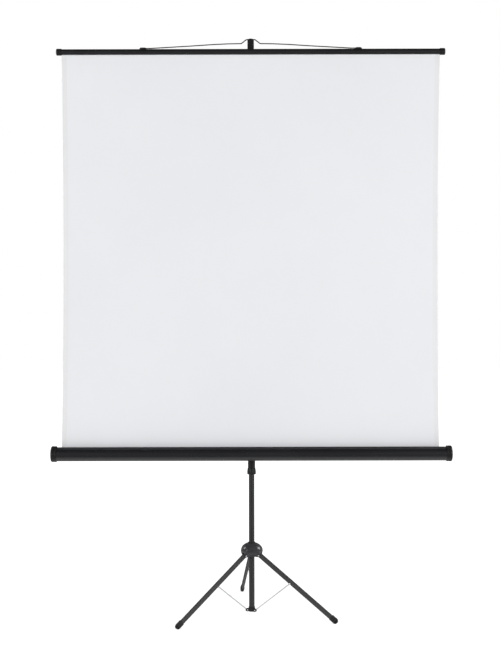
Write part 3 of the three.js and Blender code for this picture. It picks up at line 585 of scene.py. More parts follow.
# A pan-head screw with a cross recess, its head's seat at zero
def screwShape(radius, headRadius, headHeight, length):
    s = opened(screwShares)
    crown = headHeight * s.crown
    profile = [
        (0, -length), (radius * s.point, -length), (radius, -length + radius), (radius, 0), (headRadius, 0),
        (headRadius, headHeight - crown), (headRadius * s.brow, headHeight - crown * s.browDrop),
        (headRadius * s.flat, headHeight), (0, headHeight),
    ]
    half = headRadius * s.recess
    blade = headRadius * s.blade
    deep = headHeight * s.depth
    above = headHeight * s.above
    return carved(
        lathe(profile, s.steps),
        block((-half, -blade, deep), (half, blade, above)),
        block((-blade, -half, deep), (blade, half, above)),
    )


# Mast and its foot
mastSizes = {"wall": 1.0, "edge": 0.3}
mastFootSizes = {
    "bottom": 12, "floor": 3, "height": 12, "wall": 2.4, "neck": 6, "neckWall": 1.4, "chamfer": 0.8,
    "gap": 0.3, "eyeRadius": 6, "cheek": 2.5, "near": -3.4, "far": -11, "webEnd": 13.1, "round": 0.6,
}


def legPlane(side):
    turn = joints["leg_fold_" + side]["axis"]
    return turned(atan2(-turn[0], turn[1]), "Z")


def outward(spot):
    return hypot(spot.x, spot.y)


def makeMast():
    low, high = nodeSpan("mast_tube")
    shape = tube(high.x - mastSizes["wall"], high.x, low.z, high.z, mastSizes["edge"])
    makePiece("mastTube", shape, "mast", "litMastPaint", "mast_tube")

    s = opened(mastFootSizes)
    bore = high.x + s.gap
    rim = bore + s.wall
    neck = bore + s.neckWall
    floor = s.bottom + s.floor
    top = s.bottom + s.height
    neckTop = top + s.neck
    cut = s.chamfer
    collar = lathe([
        (0, s.bottom), (rim - cut, s.bottom), (rim, s.bottom + cut), (rim, top - cut), (rim - cut, top),
        (neck, top), (neck, neckTop - cut), (neck - cut, neckTop), (bore, neckTop), (bore, floor), (0, floor),
    ])
    earRoot = bore + s.wall / 2
    arms = []
    for side in sides:
        plane = legPlane(side)
        eye = jointSpot("strut_fold_" + side)
        under, over = eye.z - s.eyeRadius, eye.z + s.eyeRadius
        ear = [(earRoot, over), (earRoot, under)] + arc(outward(eye), eye.z, s.eyeRadius, -90, 90, steps=16)
        for start in (s.far, s.near - s.cheek):
            arms.append(placed(prism(ear, start, start + s.cheek, "Y"), plane))
        arms.append(placed(block((bore, s.far, under), (s.webEnd, s.near, over)), plane))
    makePiece("mastFoot", softened(united(collar, *arms), s.round), "mast", "mouldedBlack", "mast_foot")


makeMast()
print("mast made")

# Hub: a three-lobed dome with a yoke for each leg and a flat shield between the lobes
hubSizes = {
    "radius": 44.5, "domeHeight": 31.5, "domeSteps": 18, "topRadius": 15.5, "rimRise": 4.4, "waistRise": 15.2,
    "rimInset": 3, "barrelRadius": 18.5, "barrelEdge": 0.5, "eyeRadius": 6.8, "slotHalf": 6.2, "cheek": 4,
    "slotSwing": 12.15, "shield": 36, "bushRadius": 13.5, "bushBore": 11.5, "flange": 2.2, "flangeEdge": 0.5,
    "flangeLean": 0.8, "gap": 0.3, "round": 0.9, "past": 60,
}


def makeHub():
    s = opened(hubSizes)
    pivot = jointSpot("leg_fold_left")
    reach = outward(pivot)
    widest = pivot.z + s.waistRise
    rim = pivot.z + s.rimRise
    bottom = pivot.z - s.eyeRadius
    top = widest + s.domeHeight
    crown = acos(s.topRadius / s.radius)
    dome = [(0, rim), (s.radius - s.rimInset, rim)]
    for step in range(s.domeSteps + 1):
        turn = crown * step / s.domeSteps
        dome.append((s.radius * cos(turn), widest + s.domeHeight * sin(turn) / sin(crown)))
    dome.append((0, top))
    yoke = [(0, widest), (0, bottom)] + arc(reach, pivot.z, s.eyeRadius, -90, 0, steps=12)
    yoke.append((reach + s.eyeRadius, widest))
    outside = s.slotHalf + s.cheek
    shapes = [lathe(dome, steps=96), rod(s.barrelRadius, bottom, widest, s.barrelEdge, steps=64)]
    cuts = [drill(s.bushRadius + s.gap, bottom - s.past, top + s.past)]
    for side in sides:
        plane = legPlane(side)
        shapes.append(placed(prism(yoke, -outside, outside, "Y"), plane))
        slotLow = (reach - s.slotSwing, -s.slotHalf, bottom - s.past)
        cuts.append(placed(block(slotLow, (s.past, s.slotHalf, pivot.z + s.slotSwing)), plane))
        shield = block((s.shield, -s.past, bottom - s.past), (s.past, s.past, top))
        cuts.append(placed(shield, plane @ turned(pi / 3, "Z")))
    makePiece("hubBody", softened(carved(united(*shapes), *cuts), s.round), "hub", "glossyBlack", "hub_body")

    lip = top + s.gap
    bush = lathe([
        (s.bushBore, bottom), (s.bushRadius, bottom), (s.bushRadius, lip), (s.topRadius - s.flangeEdge, lip),
        (s.topRadius, lip + s.flangeEdge), (s.topRadius - s.flangeLean, lip + s.flange),
        (s.bushBore, lip + s.flange),
    ], closed=True)
    makePiece("hubBush", bush, "hub", "mouldedBlack", "hub_bush")


makeHub()
print("hub made")

# Legs of flat-sided oval tube, with rubber boots, struts and rivets
legSizes = {
    "width": 20.2, "thickness": 11.6, "wall": 1.3, "length": 391.5, "head": 6, "round": 0.35, "past": 20,
    "pinRadius": 3, "pinHole": 3.3, "pinHead": 4, "pinSeat": 10.5,
}
bootSizes = {
    "wall": 2.2, "sleeve": 20, "grip": 16, "gap": 0.3, "rim": 1.3, "grooves": 3, "groove": 0.06,
    "grooveWidth": 2.2, "groovePitch": 4.5, "firstGroove": 5.5, "toeSteps": 9, "toeStart": 82,
    "fullness": 0.3,
}
strutSizes = {
    "reach": 166, "inset": 5, "width": 5, "thickness": 2, "eyeRadius": 4, "inside": 6.2, "rivetRadius": 2,
    "rivetHead": 3, "clevisInside": 3.1, "clevisOutside": 11.3, "gap": 0.3, "round": 0.35,
}


def tubeShape(lowEnd):
    s = opened(legSizes)
    hollow = oval(s.width - 2 * s.wall, s.thickness - 2 * s.wall)
    return softened(carved(
        prism(oval(s.width, s.thickness), lowEnd, s.head, "Z"),
        prism(hollow, lowEnd - s.past, s.head + s.past, "Z"),
        drill(s.pinHole, -s.past, s.past, 32, lyingAlongY),
    ), s.round)


def bootShape(place):
    s = opened(bootSizes)
    leg = opened(legSizes)
    centre = -leg.length
    top = centre + s.sleeve
    width = leg.width + 2 * s.wall
    rings = []
    for step in range(s.toeSteps + 1):  # the rounded toe, fuller across its thickness
        turn = radians(s.toeStart * (1 - step / s.toeSteps))
        rings.append((cos(turn), cos(turn) ** s.fullness, centre - width / 2 * sin(turn)))
    waist = 1 - s.groove
    half = s.grooveWidth / 2
    for number in range(s.grooves):
        middle = centre + s.firstGroove + number * s.groovePitch
        rings += [(1, 1, middle - half), (waist, waist, middle - half / 2),
                  (waist, waist, middle + half / 2), (1, 1, middle + half)]
    lip = 1 - s.rim / width
    rings += [(1, 1, top - s.rim), ((1 + lip) / 2, (1 + lip) / 2, top - s.rim / 3), (lip, lip, top)]
    bore = oval(leg.width + 2 * s.gap, leg.thickness + 2 * s.gap)
    bm = placed(carved(
        drawnOut(oval(width, leg.thickness + 2 * s.wall), rings),
        prism(bore, top - s.grip, top + leg.past, "Z"),
    ), place)
    # The boot is cut flat where it stands on the floor
    bmesh.ops.bisect_plane(bm, geom=bm.verts[:] + bm.edges[:] + bm.faces[:], plane_co=(0, 0, 0),
                           plane_no=(0, 0, -1), clear_outer=True)
    bmesh.ops.holes_fill(bm, edges=[edge for edge in bm.edges if edge.is_boundary])
    return bm


def makeLeg(side):
    s = opened(legSizes)
    leg, strut = "leg_" + side, "strut_" + side
    pivot = jointSpot("leg_fold_" + side)
    tilt = radians(joints["leg_fold_" + side]["range_deg"][1])
    plane = legPlane(side)
    atPivot = plane @ at(outward(pivot), 0, pivot.z)
    limb = atPivot @ turned(-tilt, "Y")
    lowEnd = -s.length + bootSizes["sleeve"] - bootSizes["grip"] + bootSizes["gap"]
    makePiece("legTube." + side, placed(tubeShape(lowEnd), limb), leg, "litLegPaint", "leg_tube_" + side)
    makePiece("legBoot." + side, bootShape(limb), leg, "bootRubber", "leg_foot_" + side)
    pin = rivetShape(s.pinRadius, s.pinHead, -s.pinSeat, s.pinSeat)
    makePiece("legPin." + side, placed(pin, atPivot @ lyingAlongY), "hub", "brightZinc", "leg_pin_" + side)

    t = opened(strutSizes)
    foot = jointSpot("strut_fold_" + side)
    reachOut = outward(pivot) + t.reach * sin(tilt) - t.inset * cos(tilt) - outward(foot)
    reachUp = pivot.z - t.reach * cos(tilt) - t.inset * sin(tilt) - foot.z
    length = hypot(reachOut, reachUp)
    atFoot = plane @ at(outward(foot), 0, foot.z)
    bar = atFoot @ turned(atan2(reachOut, reachUp), "Y")
    neck = degrees(asin(t.width / 2 / t.eyeRadius))
    outline = arc(0, 0, t.eyeRadius, 90 + neck, 450 - neck, steps=24)
    outline += arc(0, length, t.eyeRadius, neck - 90, 270 - neck, steps=24)
    outside = t.inside + t.thickness
    shape = softened(prism(outline, -outside, -t.inside, "Y"), t.round)
    makePiece("strut." + side, placed(shape, bar), strut, "brightZinc", strut)
    stud = studShape(t.rivetRadius, t.rivetHead, t.inside, outside + t.gap)
    atLeg = bar @ at(0, 0, length) @ facingFront
    makePiece("strutStud." + side, placed(stud, atLeg), strut, "brightZinc", "strut_leg_rivet_" + side)
    rivet = rivetShape(t.rivetRadius, t.rivetHead, t.clevisInside, t.clevisOutside)
    rivet = placed(rivet, atFoot @ facingFront)
    makePiece("clevisRivet." + side, rivet, "mast", "brightZinc", "strut_foot_rivet_" + side)


for side in sides:
    makeLeg(side)
print("legs made")

# Clamp at the mast's top, extension tube and hook
collarSizes = {
    "wall": 4.8, "grip": 32, "lowEdge": 1.2, "topEdge": 2.5, "bead": 0.8, "beadHalf": 2, "beadFoot": 3,
    "boss": 8, "bossReach": 24, "bossEdge": 0.8, "bore": 8.4, "screwHole": 3.3, "gap": 0.3, "round": 0.8,
}
knobSizes = {
    "radius": 15, "height": 14, "inset": 2, "backEdge": 1, "frontEdge": 1.5, "dish": 2.0, "dishShare": 0.5,
    "lobes": 6, "lobeRadius": 4, "lobeInset": 0.4, "lobeEdge": 1.2, "stem": 3, "stemIn": 2, "stemEdge": 0.4,
    "tip": 8.4, "back": 24.4,
}
extensionSizes = {"wall": 1, "edge": 0.3}
hookSizes = {
    "half": 13, "front": 15, "rear": 13, "rise": 5.6, "arch": 4.5, "lip": 1.5, "topRound": 5, "throat": 3,
    "chamfer": 2, "taper": 18, "neckWall": 4, "socket": 54, "notchForward": 8, "notchRise": 58.1,
    "groove": 2.4, "pinRise": 19, "pinRadius": 2, "pinHead": 4, "past": 1, "gap": 0.3, "round": 0.9,
}


def makeClamp():
    s = opened(collarSizes)
    low, high = nodeSpan("mast_lock_collar")
    mast = nodeSpan("mast_tube")[1]
    atKnob = at(0, 0, jointSpot("lock_knob_turn").z) @ lyingAlongY
    rim = mast.x + s.wall
    bead = rim + s.bead
    body = lathe([
        (0, low.z), (rim - s.lowEdge, low.z), (rim, low.z + s.lowEdge), (rim, mast.z - s.beadFoot),
        (bead, mast.z - s.beadHalf), (bead, mast.z + s.beadHalf), (rim, mast.z + s.beadFoot),
        (rim, high.z - s.topEdge), (rim - s.topEdge, high.z), (0, high.z),
    ])
    shape = carved(
        united(body, rod(s.boss, 0, s.bossReach, s.bossEdge, place=atKnob)),
        drill(mast.x + s.gap, low.z - s.grip, mast.z + s.gap),
        drill(s.bore, low.z - s.grip, high.z + s.grip),
        drill(s.screwHole, 0, s.bossReach * 2, 32, atKnob),
    )
    makePiece("mastLockCollar", softened(shape, s.round), "mast", "mouldedBlack", "mast_lock_collar")

    k = opened(knobSizes)
    end = k.back + k.height
    flank = k.radius - k.inset
    core = lathe([
        (0, k.back), (flank - k.backEdge, k.back), (flank, k.back + k.backEdge), (flank, end - k.frontEdge),
        (flank - k.frontEdge, end), (k.radius * k.dishShare, end - k.dish / 2), (0, end - k.dish),
    ])
    stem = rod(k.stem, k.tip, k.back + k.stemIn, k.stemEdge, steps=32)
    lobes = []
    for place in around(k.lobes, k.radius - k.lobeRadius):
        lobes.append(rod(k.lobeRadius, k.back + k.lobeInset, end - k.lobeInset, k.lobeEdge, 32, place))
    shape = placed(united(core, stem, *lobes), atKnob)
    makePiece("lockKnob", shape, "lock_knob", "mouldedBlack", "lock_knob", smooth=40)


# The height of the hook's notch, which is set from the top bar's axis
def notchHeight():
    low, high = nodeSpan("top_bar")
    return high.z - (high.y - low.y) / 2 + hookSizes["notchRise"]


def makeExtension():
    low, high = nodeSpan("extension_tube")
    shape = tube(high.x - extensionSizes["wall"], high.x, low.z, high.z, extensionSizes["edge"])
    makePiece("extensionTube", shape, "extension", "drawnAluminium", "extension_tube")

    s = opened(hookSizes)
    bottom = nodeSpan("hook_head")[0].z
    notch = notchHeight()
    top = notch + s.rise
    tongue = notch + s.lip
    outline = [(s.rear, bottom)] + arc(s.rear - s.topRound, top - s.topRound, s.topRound, 0, 90, steps=10)
    outline.append((-s.notchForward + s.groove + s.throat, top))
    outline += arc(-s.notchForward, notch, s.groove, 0, -180, steps=14)
    outline += [
        (-s.notchForward - s.groove, tongue), (-s.front + s.chamfer, tongue), (-s.front, tongue - s.chamfer),
        (-s.front, bottom + s.taper), (-high.x - s.neckWall, bottom),
    ]
    archRadius = (s.half ** 2 + s.arch ** 2) / (2 * s.arch)
    archAngle = degrees(asin(s.half / archRadius))
    front = [(-s.half, bottom), (s.half, bottom)]
    front += arc(0, top - archRadius, archRadius, 90 - archAngle, 90 + archAngle, steps=24)
    arched = combined("INTERSECT", prism(outline, -s.half, s.half, "X"),
                      prism(front, -s.front - s.past, s.rear + s.past, "Y"))
    socket = drill(high.x + s.gap, bottom - s.socket, bottom + s.socket)
    shape = softened(carved(arched, socket), s.round, segments=3, sharp=25)
    makePiece("hookHead", shape, "extension", "mouldedBlack", "hook_head")
    pin = rivetShape(s.pinRadius, s.pinHead, -s.half - s.gap, s.half + s.gap)
    place = at(0, 0, bottom + s.pinRise) @ lyingAlongX
    makePiece("headPin", placed(pin, place), "extension", "brightZinc", "head_pin")


makeClamp()
makeExtension()
print("extension made")

# Carriage on the mast, its twist ring and the pivot
carriageSizes = {
    "radius": 14.5, "bore": 11.5, "neckRadius": 13.1, "neck": 11, "edge": 0.6, "band": 0.9, "bandHeight": 6,
    "bandEdge": 1, "boss": 16, "bossFace": 38, "bossRoot": 1, "rootIn": 2.5, "flareIn": 1, "flareBack": 10,
    "rimBack": 6, "bossEdge": 0.8, "round": 0.8, "past": 20,
}
ringSizes = {
    "bore": 11.5, "neckBore": 13.4, "radius": 17.5, "taper": 2, "edge": 1.2, "flutes": 12, "flute": 1.8,
    "fluteEdge": 0.8, "shoulder": 4, "step": 10.7, "round": 0.5,
}
pivotSizes = {
    "bolt": 4, "boltEdge": 0.4, "head": 8, "headHeight": 5, "headIn": 1, "gap": 0.3, "washer": 14,
    "round": 0.6,
}


def makeCarriage():
    s = opened(carriageSizes)
    low, high = nodeSpan("carriage_body")
    facing = at(0, 0, jointSpot("case_turn").z) @ facingFront
    shoulder = low.z + s.neck
    rim = s.radius + s.band
    sleeve = lathe([
        (s.bore, low.z), (s.neckRadius, low.z), (s.neckRadius, shoulder), (s.radius - s.edge, shoulder),
        (s.radius, shoulder + s.edge), (s.radius, high.z - s.bandHeight - s.band),
        (rim, high.z - s.bandHeight), (rim, high.z - s.bandEdge), (rim - s.bandEdge, high.z),
        (s.bore, high.z),
    ], closed=True)
    root = s.bore + s.bossRoot
    boss = lathe([
        (0, root), (s.boss - s.rootIn, root), (s.boss - s.flareIn, s.bossFace - s.flareBack),
        (s.boss, s.bossFace - s.rimBack), (s.boss, s.bossFace - s.bossEdge),
        (s.boss - s.bossEdge, s.bossFace), (0, s.bossFace),
    ], place=facing)
    bore = drill(s.bore, low.z - s.past, high.z + s.past)
    shape = softened(carved(united(sleeve, boss), bore), s.round)
    makePiece("carriageBody", shape, "carriage", "mouldedBlack", "carriage_body")

    r = opened(ringSizes)
    low, high = nodeSpan("clamp_ring")
    middle = (low.z + high.z) / 2
    step = high.z - r.step
    grip = lathe([
        (r.bore, low.z), (r.radius - r.edge, low.z), (r.radius, low.z + r.edge), (r.radius, middle),
        (r.radius - r.taper, high.z), (r.neckBore, high.z), (r.neckBore, step), (r.bore, step),
    ], steps=96, closed=True)
    flutes = []
    for place in around(r.flutes, r.radius + r.flute / 2):
        flutes.append(rod(r.flute, low.z - s.past, high.z - r.shoulder, r.fluteEdge, 24, place))
    shape = softened(carved(grip, *flutes), r.round)
    makePiece("clampRing", shape, "clamp_ring", "mouldedBlack", "clamp_ring")

    p = opened(pivotSizes)
    low, high = nodeSpan("pivot_washer")
    washer = tube(p.bolt + p.gap, p.washer, -high.y, -low.y, steps=48, place=facing)
    makePiece("pivotWasher", washer, "carriage", "brightZinc", "pivot_washer")
    low, high = nodeSpan("pivot_bolt")
    seat = -low.y - p.headHeight
    head = bmesh.new()
    bmesh.ops.create_cone(head, cap_ends=True, segments=6, radius1=p.head, radius2=p.head, depth=p.headHeight)
    placed(head, facing @ at(0, 0, seat + p.headHeight / 2))
    shank = rod(p.bolt, -high.y, seat + p.headIn, p.boltEdge, 32, facing)
    makePiece("pivotBolt", united(softened(head, p.round), shank), "carriage", "brightZinc", "pivot_bolt")


makeCarriage()
print("carriage made")

# Case, its caps, saddle and screws; a cap's groove runs through four heights
caseSizes = {"radius": 28, "wall": 2.2, "slot": 8, "ledge": 1.3, "ledgeAngle": 153, "lip": 0.5}
capSizes = {
    "radius": 31, "sleeve": 5.5, "end": 16, "round": 6, "roundSteps": 14, "gap": 0.3, "edgeIn": 0.8,
    "edgeUp": 0.8, "groove": 0.9, "grooveRun": (5, 5.6, 7.4, 8), "dishRim": 0.62, "dishFloor": 0.6,
    "dish": 0.6, "soft": 0.35, "screwOffset": 17, "screwHead": 4, "screwHeight": 2, "screwRadius": 2,
    "screwLength": 9, "hole": 4.3, "holeDrop": 0.3, "past": 5,
}
saddleSizes = {
    "half": 60, "plate": 3.6, "back": 40.2, "rise": 13, "drop": 26, "pocketDrop": 15, "lip": 2.7, "wrap": 55,
    "pocketHalf": 22, "gap": 0.3, "round": 0.9, "screwSpread": 45, "screwHeights": (-13, 5),
    "screwRadius": 1.9, "screwHead": 3.6, "screwHeight": 1.8, "screwLength": 10,
}


# A cap from its seat on the tube's end, over its sleeve and groove, to its rounded end
def capProfile(c, bore, seat, edge, grooveFoot, end):
    starts, dips, rises, stops = (grooveFoot + run for run in c.grooveRun)
    grooved = c.radius - c.groove
    profile = [
        (0, seat), (bore, seat), (bore, edge), (c.radius - c.edgeIn, edge), (c.radius, edge + c.edgeUp),
        (c.radius, starts), (grooved, dips), (grooved, rises), (c.radius, stops),
    ]
    return profile + arc(c.radius - c.round, end - c.round, c.round, 0, 90, c.roundSteps)


def makeCase():
    s = opened(caseSizes)
    centre = jointSpot("roller_turn")
    low, high = nodeSpan("case_tube")
    sheetLow, sheetHigh = nodeSpan("fabric")
    offset = (sheetLow.y + sheetHigh.y) / 2 - centre.y
    near = offset - s.slot / 2
    far = offset + s.slot / 2
    inner = s.radius - s.wall
    upper = s.radius - s.ledge

    def angleAt(radius, across):
        return degrees(acos(across / radius))

    outline = arc(centre.y, centre.z, upper, angleAt(upper, near), s.ledgeAngle, steps=36)
    outline += arc(centre.y, centre.z, s.radius, s.ledgeAngle, 360 + angleAt(s.radius, far), steps=80)
    outline += arc(centre.y, centre.z, inner, 360 + angleAt(inner, far), angleAt(inner, near), steps=96)
    shape = softened(prism(outline, low.x, high.x, "X"), s.lip, sharp=40)
    makePiece("caseTube", shape, "case", "caseLacquer", "case_tube")

    c = opened(capSizes)
    edge = high.x - c.sleeve
    end = high.x + c.end
    profile = capProfile(c, s.radius + c.gap, high.x + c.gap, edge, edge, end)
    profile += [(c.radius * c.dishRim, end), (c.radius * c.dishFloor, end - c.dish), (0, end - c.dish)]
    floor = end - c.screwHeight
    for side, turn in endTurns.items():
        place = at(*centre) @ turned(turn, "Z") @ lyingAlongX
        holes = []
        for number, way in (("1", -1), ("2", 1)):
            spot = at(0, way * c.screwOffset, 0)
            holes.append(drill(c.hole, floor - c.holeDrop, end + c.past, 32, spot))
            screw = screwShape(c.screwRadius, c.screwHead, c.screwHeight, c.screwLength)
            screw = placed(screw, place @ spot @ at(0, 0, floor))
            node = "cap_screw_" + side + "_" + number
            makePiece("capScrew." + side + number, screw, "case", "brightZinc", node)
        shape = softened(placed(carved(lathe(profile, steps=96), *holes), place), c.soft, sharp=40)
        makePiece("caseCap." + side, shape, "case", "mouldedBlack", "case_cap_" + side)


def makeSaddle():
    s = opened(saddleSizes)
    centre = jointSpot("roller_turn")
    cradle = caseSizes["radius"] + s.gap
    topAngle = degrees(asin(s.rise / cradle))
    wrap = radians(s.wrap)
    lip = cradle + s.lip
    outline = [(-s.back, centre.z + s.rise)] + arc(centre.y, centre.z, cradle, topAngle, -s.wrap, steps=30)
    outline.append((centre.y + lip * cos(wrap), centre.z - lip * sin(wrap)))
    outline.append((-s.back, centre.z - s.drop))
    pocket = block(
        (-s.pocketHalf, centre.y, centre.z - s.pocketDrop),
        (s.pocketHalf, -s.back - s.plate, centre.z + s.rise * 2),
    )
    inLine = at(0, centre.y, centre.z) @ lyingAlongY
    boltHole = drill(pivotSizes["bolt"] + pivotSizes["gap"], 0, -centre.y, 32, inLine)
    shape = softened(carved(prism(outline, -s.half, s.half, "X"), pocket, boltHole), s.round)
    makePiece("caseSaddle", shape, "case", "mouldedBlack", "case_bracket")
    spots = [(x, rise) for x in (-s.screwSpread, s.screwSpread) for rise in s.screwHeights]
    for number, (x, rise) in enumerate(spots, start=1):
        screw = screwShape(s.screwRadius, s.screwHead, s.screwHeight, s.screwLength)
        screw = placed(screw, at(x, -s.back + s.gap, centre.z + rise) @ lyingAlongY)
        makePiece("saddleScrew." + str(number), screw, "case", "brightZinc", "bracket_screw_" + str(number))


makeCase()
makeSaddle()
print("case made")

# Fabric: the drawn sheet, and the turns that stay on the roller
sheetSizes = {
    "across": 60, "along": 120, "drawIn": 7.5, "footIn": 1.5, "lean": -4.5, "thickness": 0.8, "curl": 0.6,
    "curlPower": 40, "ripple": 0.5, "ripples": 3.5, "rippleRows": 2.2,
}
wrapSizes = {"start": 14.3, "turns": 5, "thickness": 0.55, "stepsPerTurn": 48}


def makeFabric():
    s = opened(sheetSizes)
    low, high = nodeSpan("fabric")
    middleY = (low.y + high.y) / 2
    height = high.z - low.z
    half = high.x
    bm = bmesh.new()
    bm.loops.layers.uv.new("UVMap")
    bmesh.ops.create_grid(bm, x_segments=s.across, y_segments=s.along, size=1, calc_uvs=True)
    for vert in bm.verts:
        across, along = vert.co.x, (vert.co.y + 1) / 2
        free = 4 * along * (1 - along)  # none where the sheet is held, all midway
        wave = s.ripple * sin(s.ripples * pi * across) * sin(s.rippleRows * pi * along)
        curl = s.curl * abs(across) ** s.curlPower
        reach = half - s.drawIn * free - s.footIn * (1 - along)
        aside = s.lean * (1 - along)  # the sheet hangs a little to one side at its foot
        vert.co = (across * reach + aside, middleY + free * (wave + curl), low.z + along * height)
    for face in bm.faces:
        face.smooth = True
    for edge in bm.edges:
        edge.smooth = not edge.is_boundary
    placed(bm, toFrame)
    bm.normal_update()
    if bm.faces[:][0].normal.y > 0:
        bmesh.ops.reverse_faces(bm, faces=bm.faces)
    piece = addObject("screenFabric", meshFrom("screenFabric", bm))
    for name in clothTones:
        piece.data.materials.append(finish[name])
    skin = piece.modifiers.new("thickness", "SOLIDIFY")
    skin.thickness = s.thickness * millimetre
    skin.offset = 0
    skin.material_offset = 1
    skin.material_offset_rim = 0
    declare(piece, "case", "fabric")
    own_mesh(piece)


def makeWrap():
    s = opened(wrapSizes)
    low, high = nodeSpan("roller_wrap")
    centre = jointSpot("roller_turn")
    outer = (high.z - low.z) / 2
    steps = s.turns * s.stepsPerTurn
    growth = (outer - s.start - s.thickness) / steps

    def spiral(extra):
        spots = []
        for step in range(steps + 1):
            radius = s.start + extra + growth * step
            turn = 2 * pi * step / s.stepsPerTurn
            spots.append((centre.y + radius * cos(turn), centre.z + radius * sin(turn)))
        return spots

    outline = spiral(0) + list(reversed(spiral(s.thickness)))
    shape = prism(outline, low.x, high.x, "X")
    makePiece("rollerWrap", shape, "roller", "mattWhiteCloth", "roller_wrap", smooth=40)


makeFabric()
makeWrap()
print("fabric made")

# Top bar, its caps, and the wire bail in its lugs
barSizes = {"wall": 1.6, "slot": 2.4, "lip": 0.4}
barCapSizes = {
    "radius": 13.5, "round": 4.5, "roundSteps": 10, "gap": 0.3, "edgeIn": 0.4, "edgeUp": 0.5, "groove": 0.5,
    "grooveStart": 6, "grooveRun": (0, 0.4, 1.6, 2),
}
lugSizes = {
    "half": 14, "width": 10, "slope": 5, "cover": 0.9, "foot": 1, "gap": 0.3, "round": 0.6, "past": 40,
}
bailSizes = {
    "radius": 2.1, "roundness": 4, "span": 872, "flat": 398, "flank": (240, 17.9), "shoulder": (150, 29.9),
    "crown": (90, 35.2), "bumpBase": (37.5, 36.8), "bumpTop": 17.5, "corner": 4, "bend": 8, "weld": 0.001,
}


def makeTopBar():
    s = opened(barSizes)
    low, high = nodeSpan("top_bar")
    centre = (low + high) / 2
    outer = (high.y - low.y) / 2
    centre.z = high.z - outer

    def wall(radius):
        gap = degrees(asin(s.slot / 2 / radius))
        return arc(centre.y, centre.z, radius, -90 + gap, 270 - gap, steps=72)

    outline = wall(outer) + list(reversed(wall(outer - s.wall)))
    shape = softened(prism(outline, low.x, high.x, "X"), s.lip, sharp=40)
    makePiece("topBar", shape, "top_bar", "satinBlackPaint", "top_bar")

    c = opened(barCapSizes)
    edge, end = (corner.x for corner in nodeSpan("top_bar_cap_right"))
    profile = capProfile(c, outer + c.gap, high.x + c.gap, edge, edge + c.grooveStart, end) + [(0, end)]
    for side, turn in endTurns.items():
        place = at(0, centre.y, centre.z) @ turned(turn, "Z") @ lyingAlongX
        cap = lathe(profile, place=place)
        makePiece("topBarCap." + side, cap, "top_bar", "mouldedBlack", "top_bar_cap_" + side)

    lug = opened(lugSizes)
    pivot = jointSpot("bail_swing")
    wire = bailSizes["radius"]
    base = centre.z + outer / 2
    foot = centre.z + outer + lug.foot
    top = pivot.z + wire + lug.cover
    for side, way in (("left", -1), ("right", 1)):
        middle = way * (bailSizes["span"] / 2 - lug.half + lug.slope)
        start, stop = middle - lug.half, middle + lug.half
        outline = [
            (start, base), (stop, base), (stop, foot), (stop - lug.slope, top), (start + lug.slope, top),
            (start, foot),
        ]
        body = prism(outline, centre.y - lug.width / 2, centre.y + lug.width / 2, "Y")
        along = at(middle, centre.y, 0) @ lyingAlongX
        seatCut = drill(outer + lug.gap, -lug.past, lug.past, 64, at(0, 0, centre.z) @ along)
        wireCut = drill(wire + lug.gap, -lug.past, lug.past, 24, at(0, 0, pivot.z) @ along)
        shape = softened(carved(body, seatCut, wireCut), lug.round)
        makePiece("bailLug." + side, shape, "top_bar", "mouldedBlack", "bail_lug_" + side)


def makeBail():
    s = opened(bailSizes)
    pivot = jointSpot("bail_swing")
    back = -hookSizes["notchForward"] - pivot.y
    up = notchHeight() - pivot.z
    reach = hypot(back, up)
    half = [(s.span / 2, 0), (s.flat, 0), s.flank, s.shoulder, s.crown, s.bumpBase, (s.bumpTop, reach)]
    corners = half + [(-x, rise) for x, rise in reversed(half)]
    spots = [Vector((x, pivot.y + rise * back / reach, pivot.z + rise * up / reach)) for x, rise in corners]
    path = [spots[0]]
    for before, spot, after in zip(spots, spots[1:], spots[2:]):
        trim = min(s.corner, (spot - before).length / 2, (after - spot).length / 2)
        enter = spot + (before - spot).normalized() * trim
        leave = spot + (after - spot).normalized() * trim
        for step in range(s.bend + 1):
            share = step / s.bend
            path.append(enter.lerp(spot, share).lerp(spot.lerp(leave, share), share))
    path.append(spots[-1])
    curve = bpy.data.curves.new("bailPath", "CURVE")
    curve.dimensions = "3D"
    curve.bevel_depth = s.radius
    curve.bevel_resolution = s.roundness
    curve.use_fill_caps = True
    spline = curve.splines.new("POLY")
    spline.points.add(len(path) - 1)
    for point, spot in zip(spline.points, path):
        point.co = spot.to_4d()
    work = addObject("bailPath", curve)
    mesh = bpy.data.meshes.new_from_object(work.evaluated_get(bpy.context.evaluated_depsgraph_get()))
    bm = bmesh.new()
    bm.from_mesh(mesh)
    bmesh.ops.remove_doubles(bm, verts=bm.verts, dist=s.weld)
    bpy.data.objects.remove(work)
    bpy.data.curves.remove(curve)
    bpy.data.meshes.remove(mesh)
    makePiece("bailWire", bm, "bail", "satinBlackPaint", "bail_wire", smooth=50)


makeTopBar()
makeBail()
print("top bar made")

# Pieces inside keep their own shape and take a finish
innerFinishes = {
    "extension_bush": "naturalPlastic", "roller_tube": "drawnAluminium", "roller_plug_left": "naturalPlastic",
    "roller_plug_right": "naturalPlastic", "idle_gudgeon": "brightZinc", "spring_shaft": "brightZinc",
    "roller_spring": "oiledSpring", "fabric_keder": "naturalPlastic",
}
for name, kind in innerFinishes.items():
    mesh = frame["nodes"][name].data
    mesh.materials.clear()
    mesh.materials.append(finish[kind])
print("inner pieces finished:", len(innerFinishes))

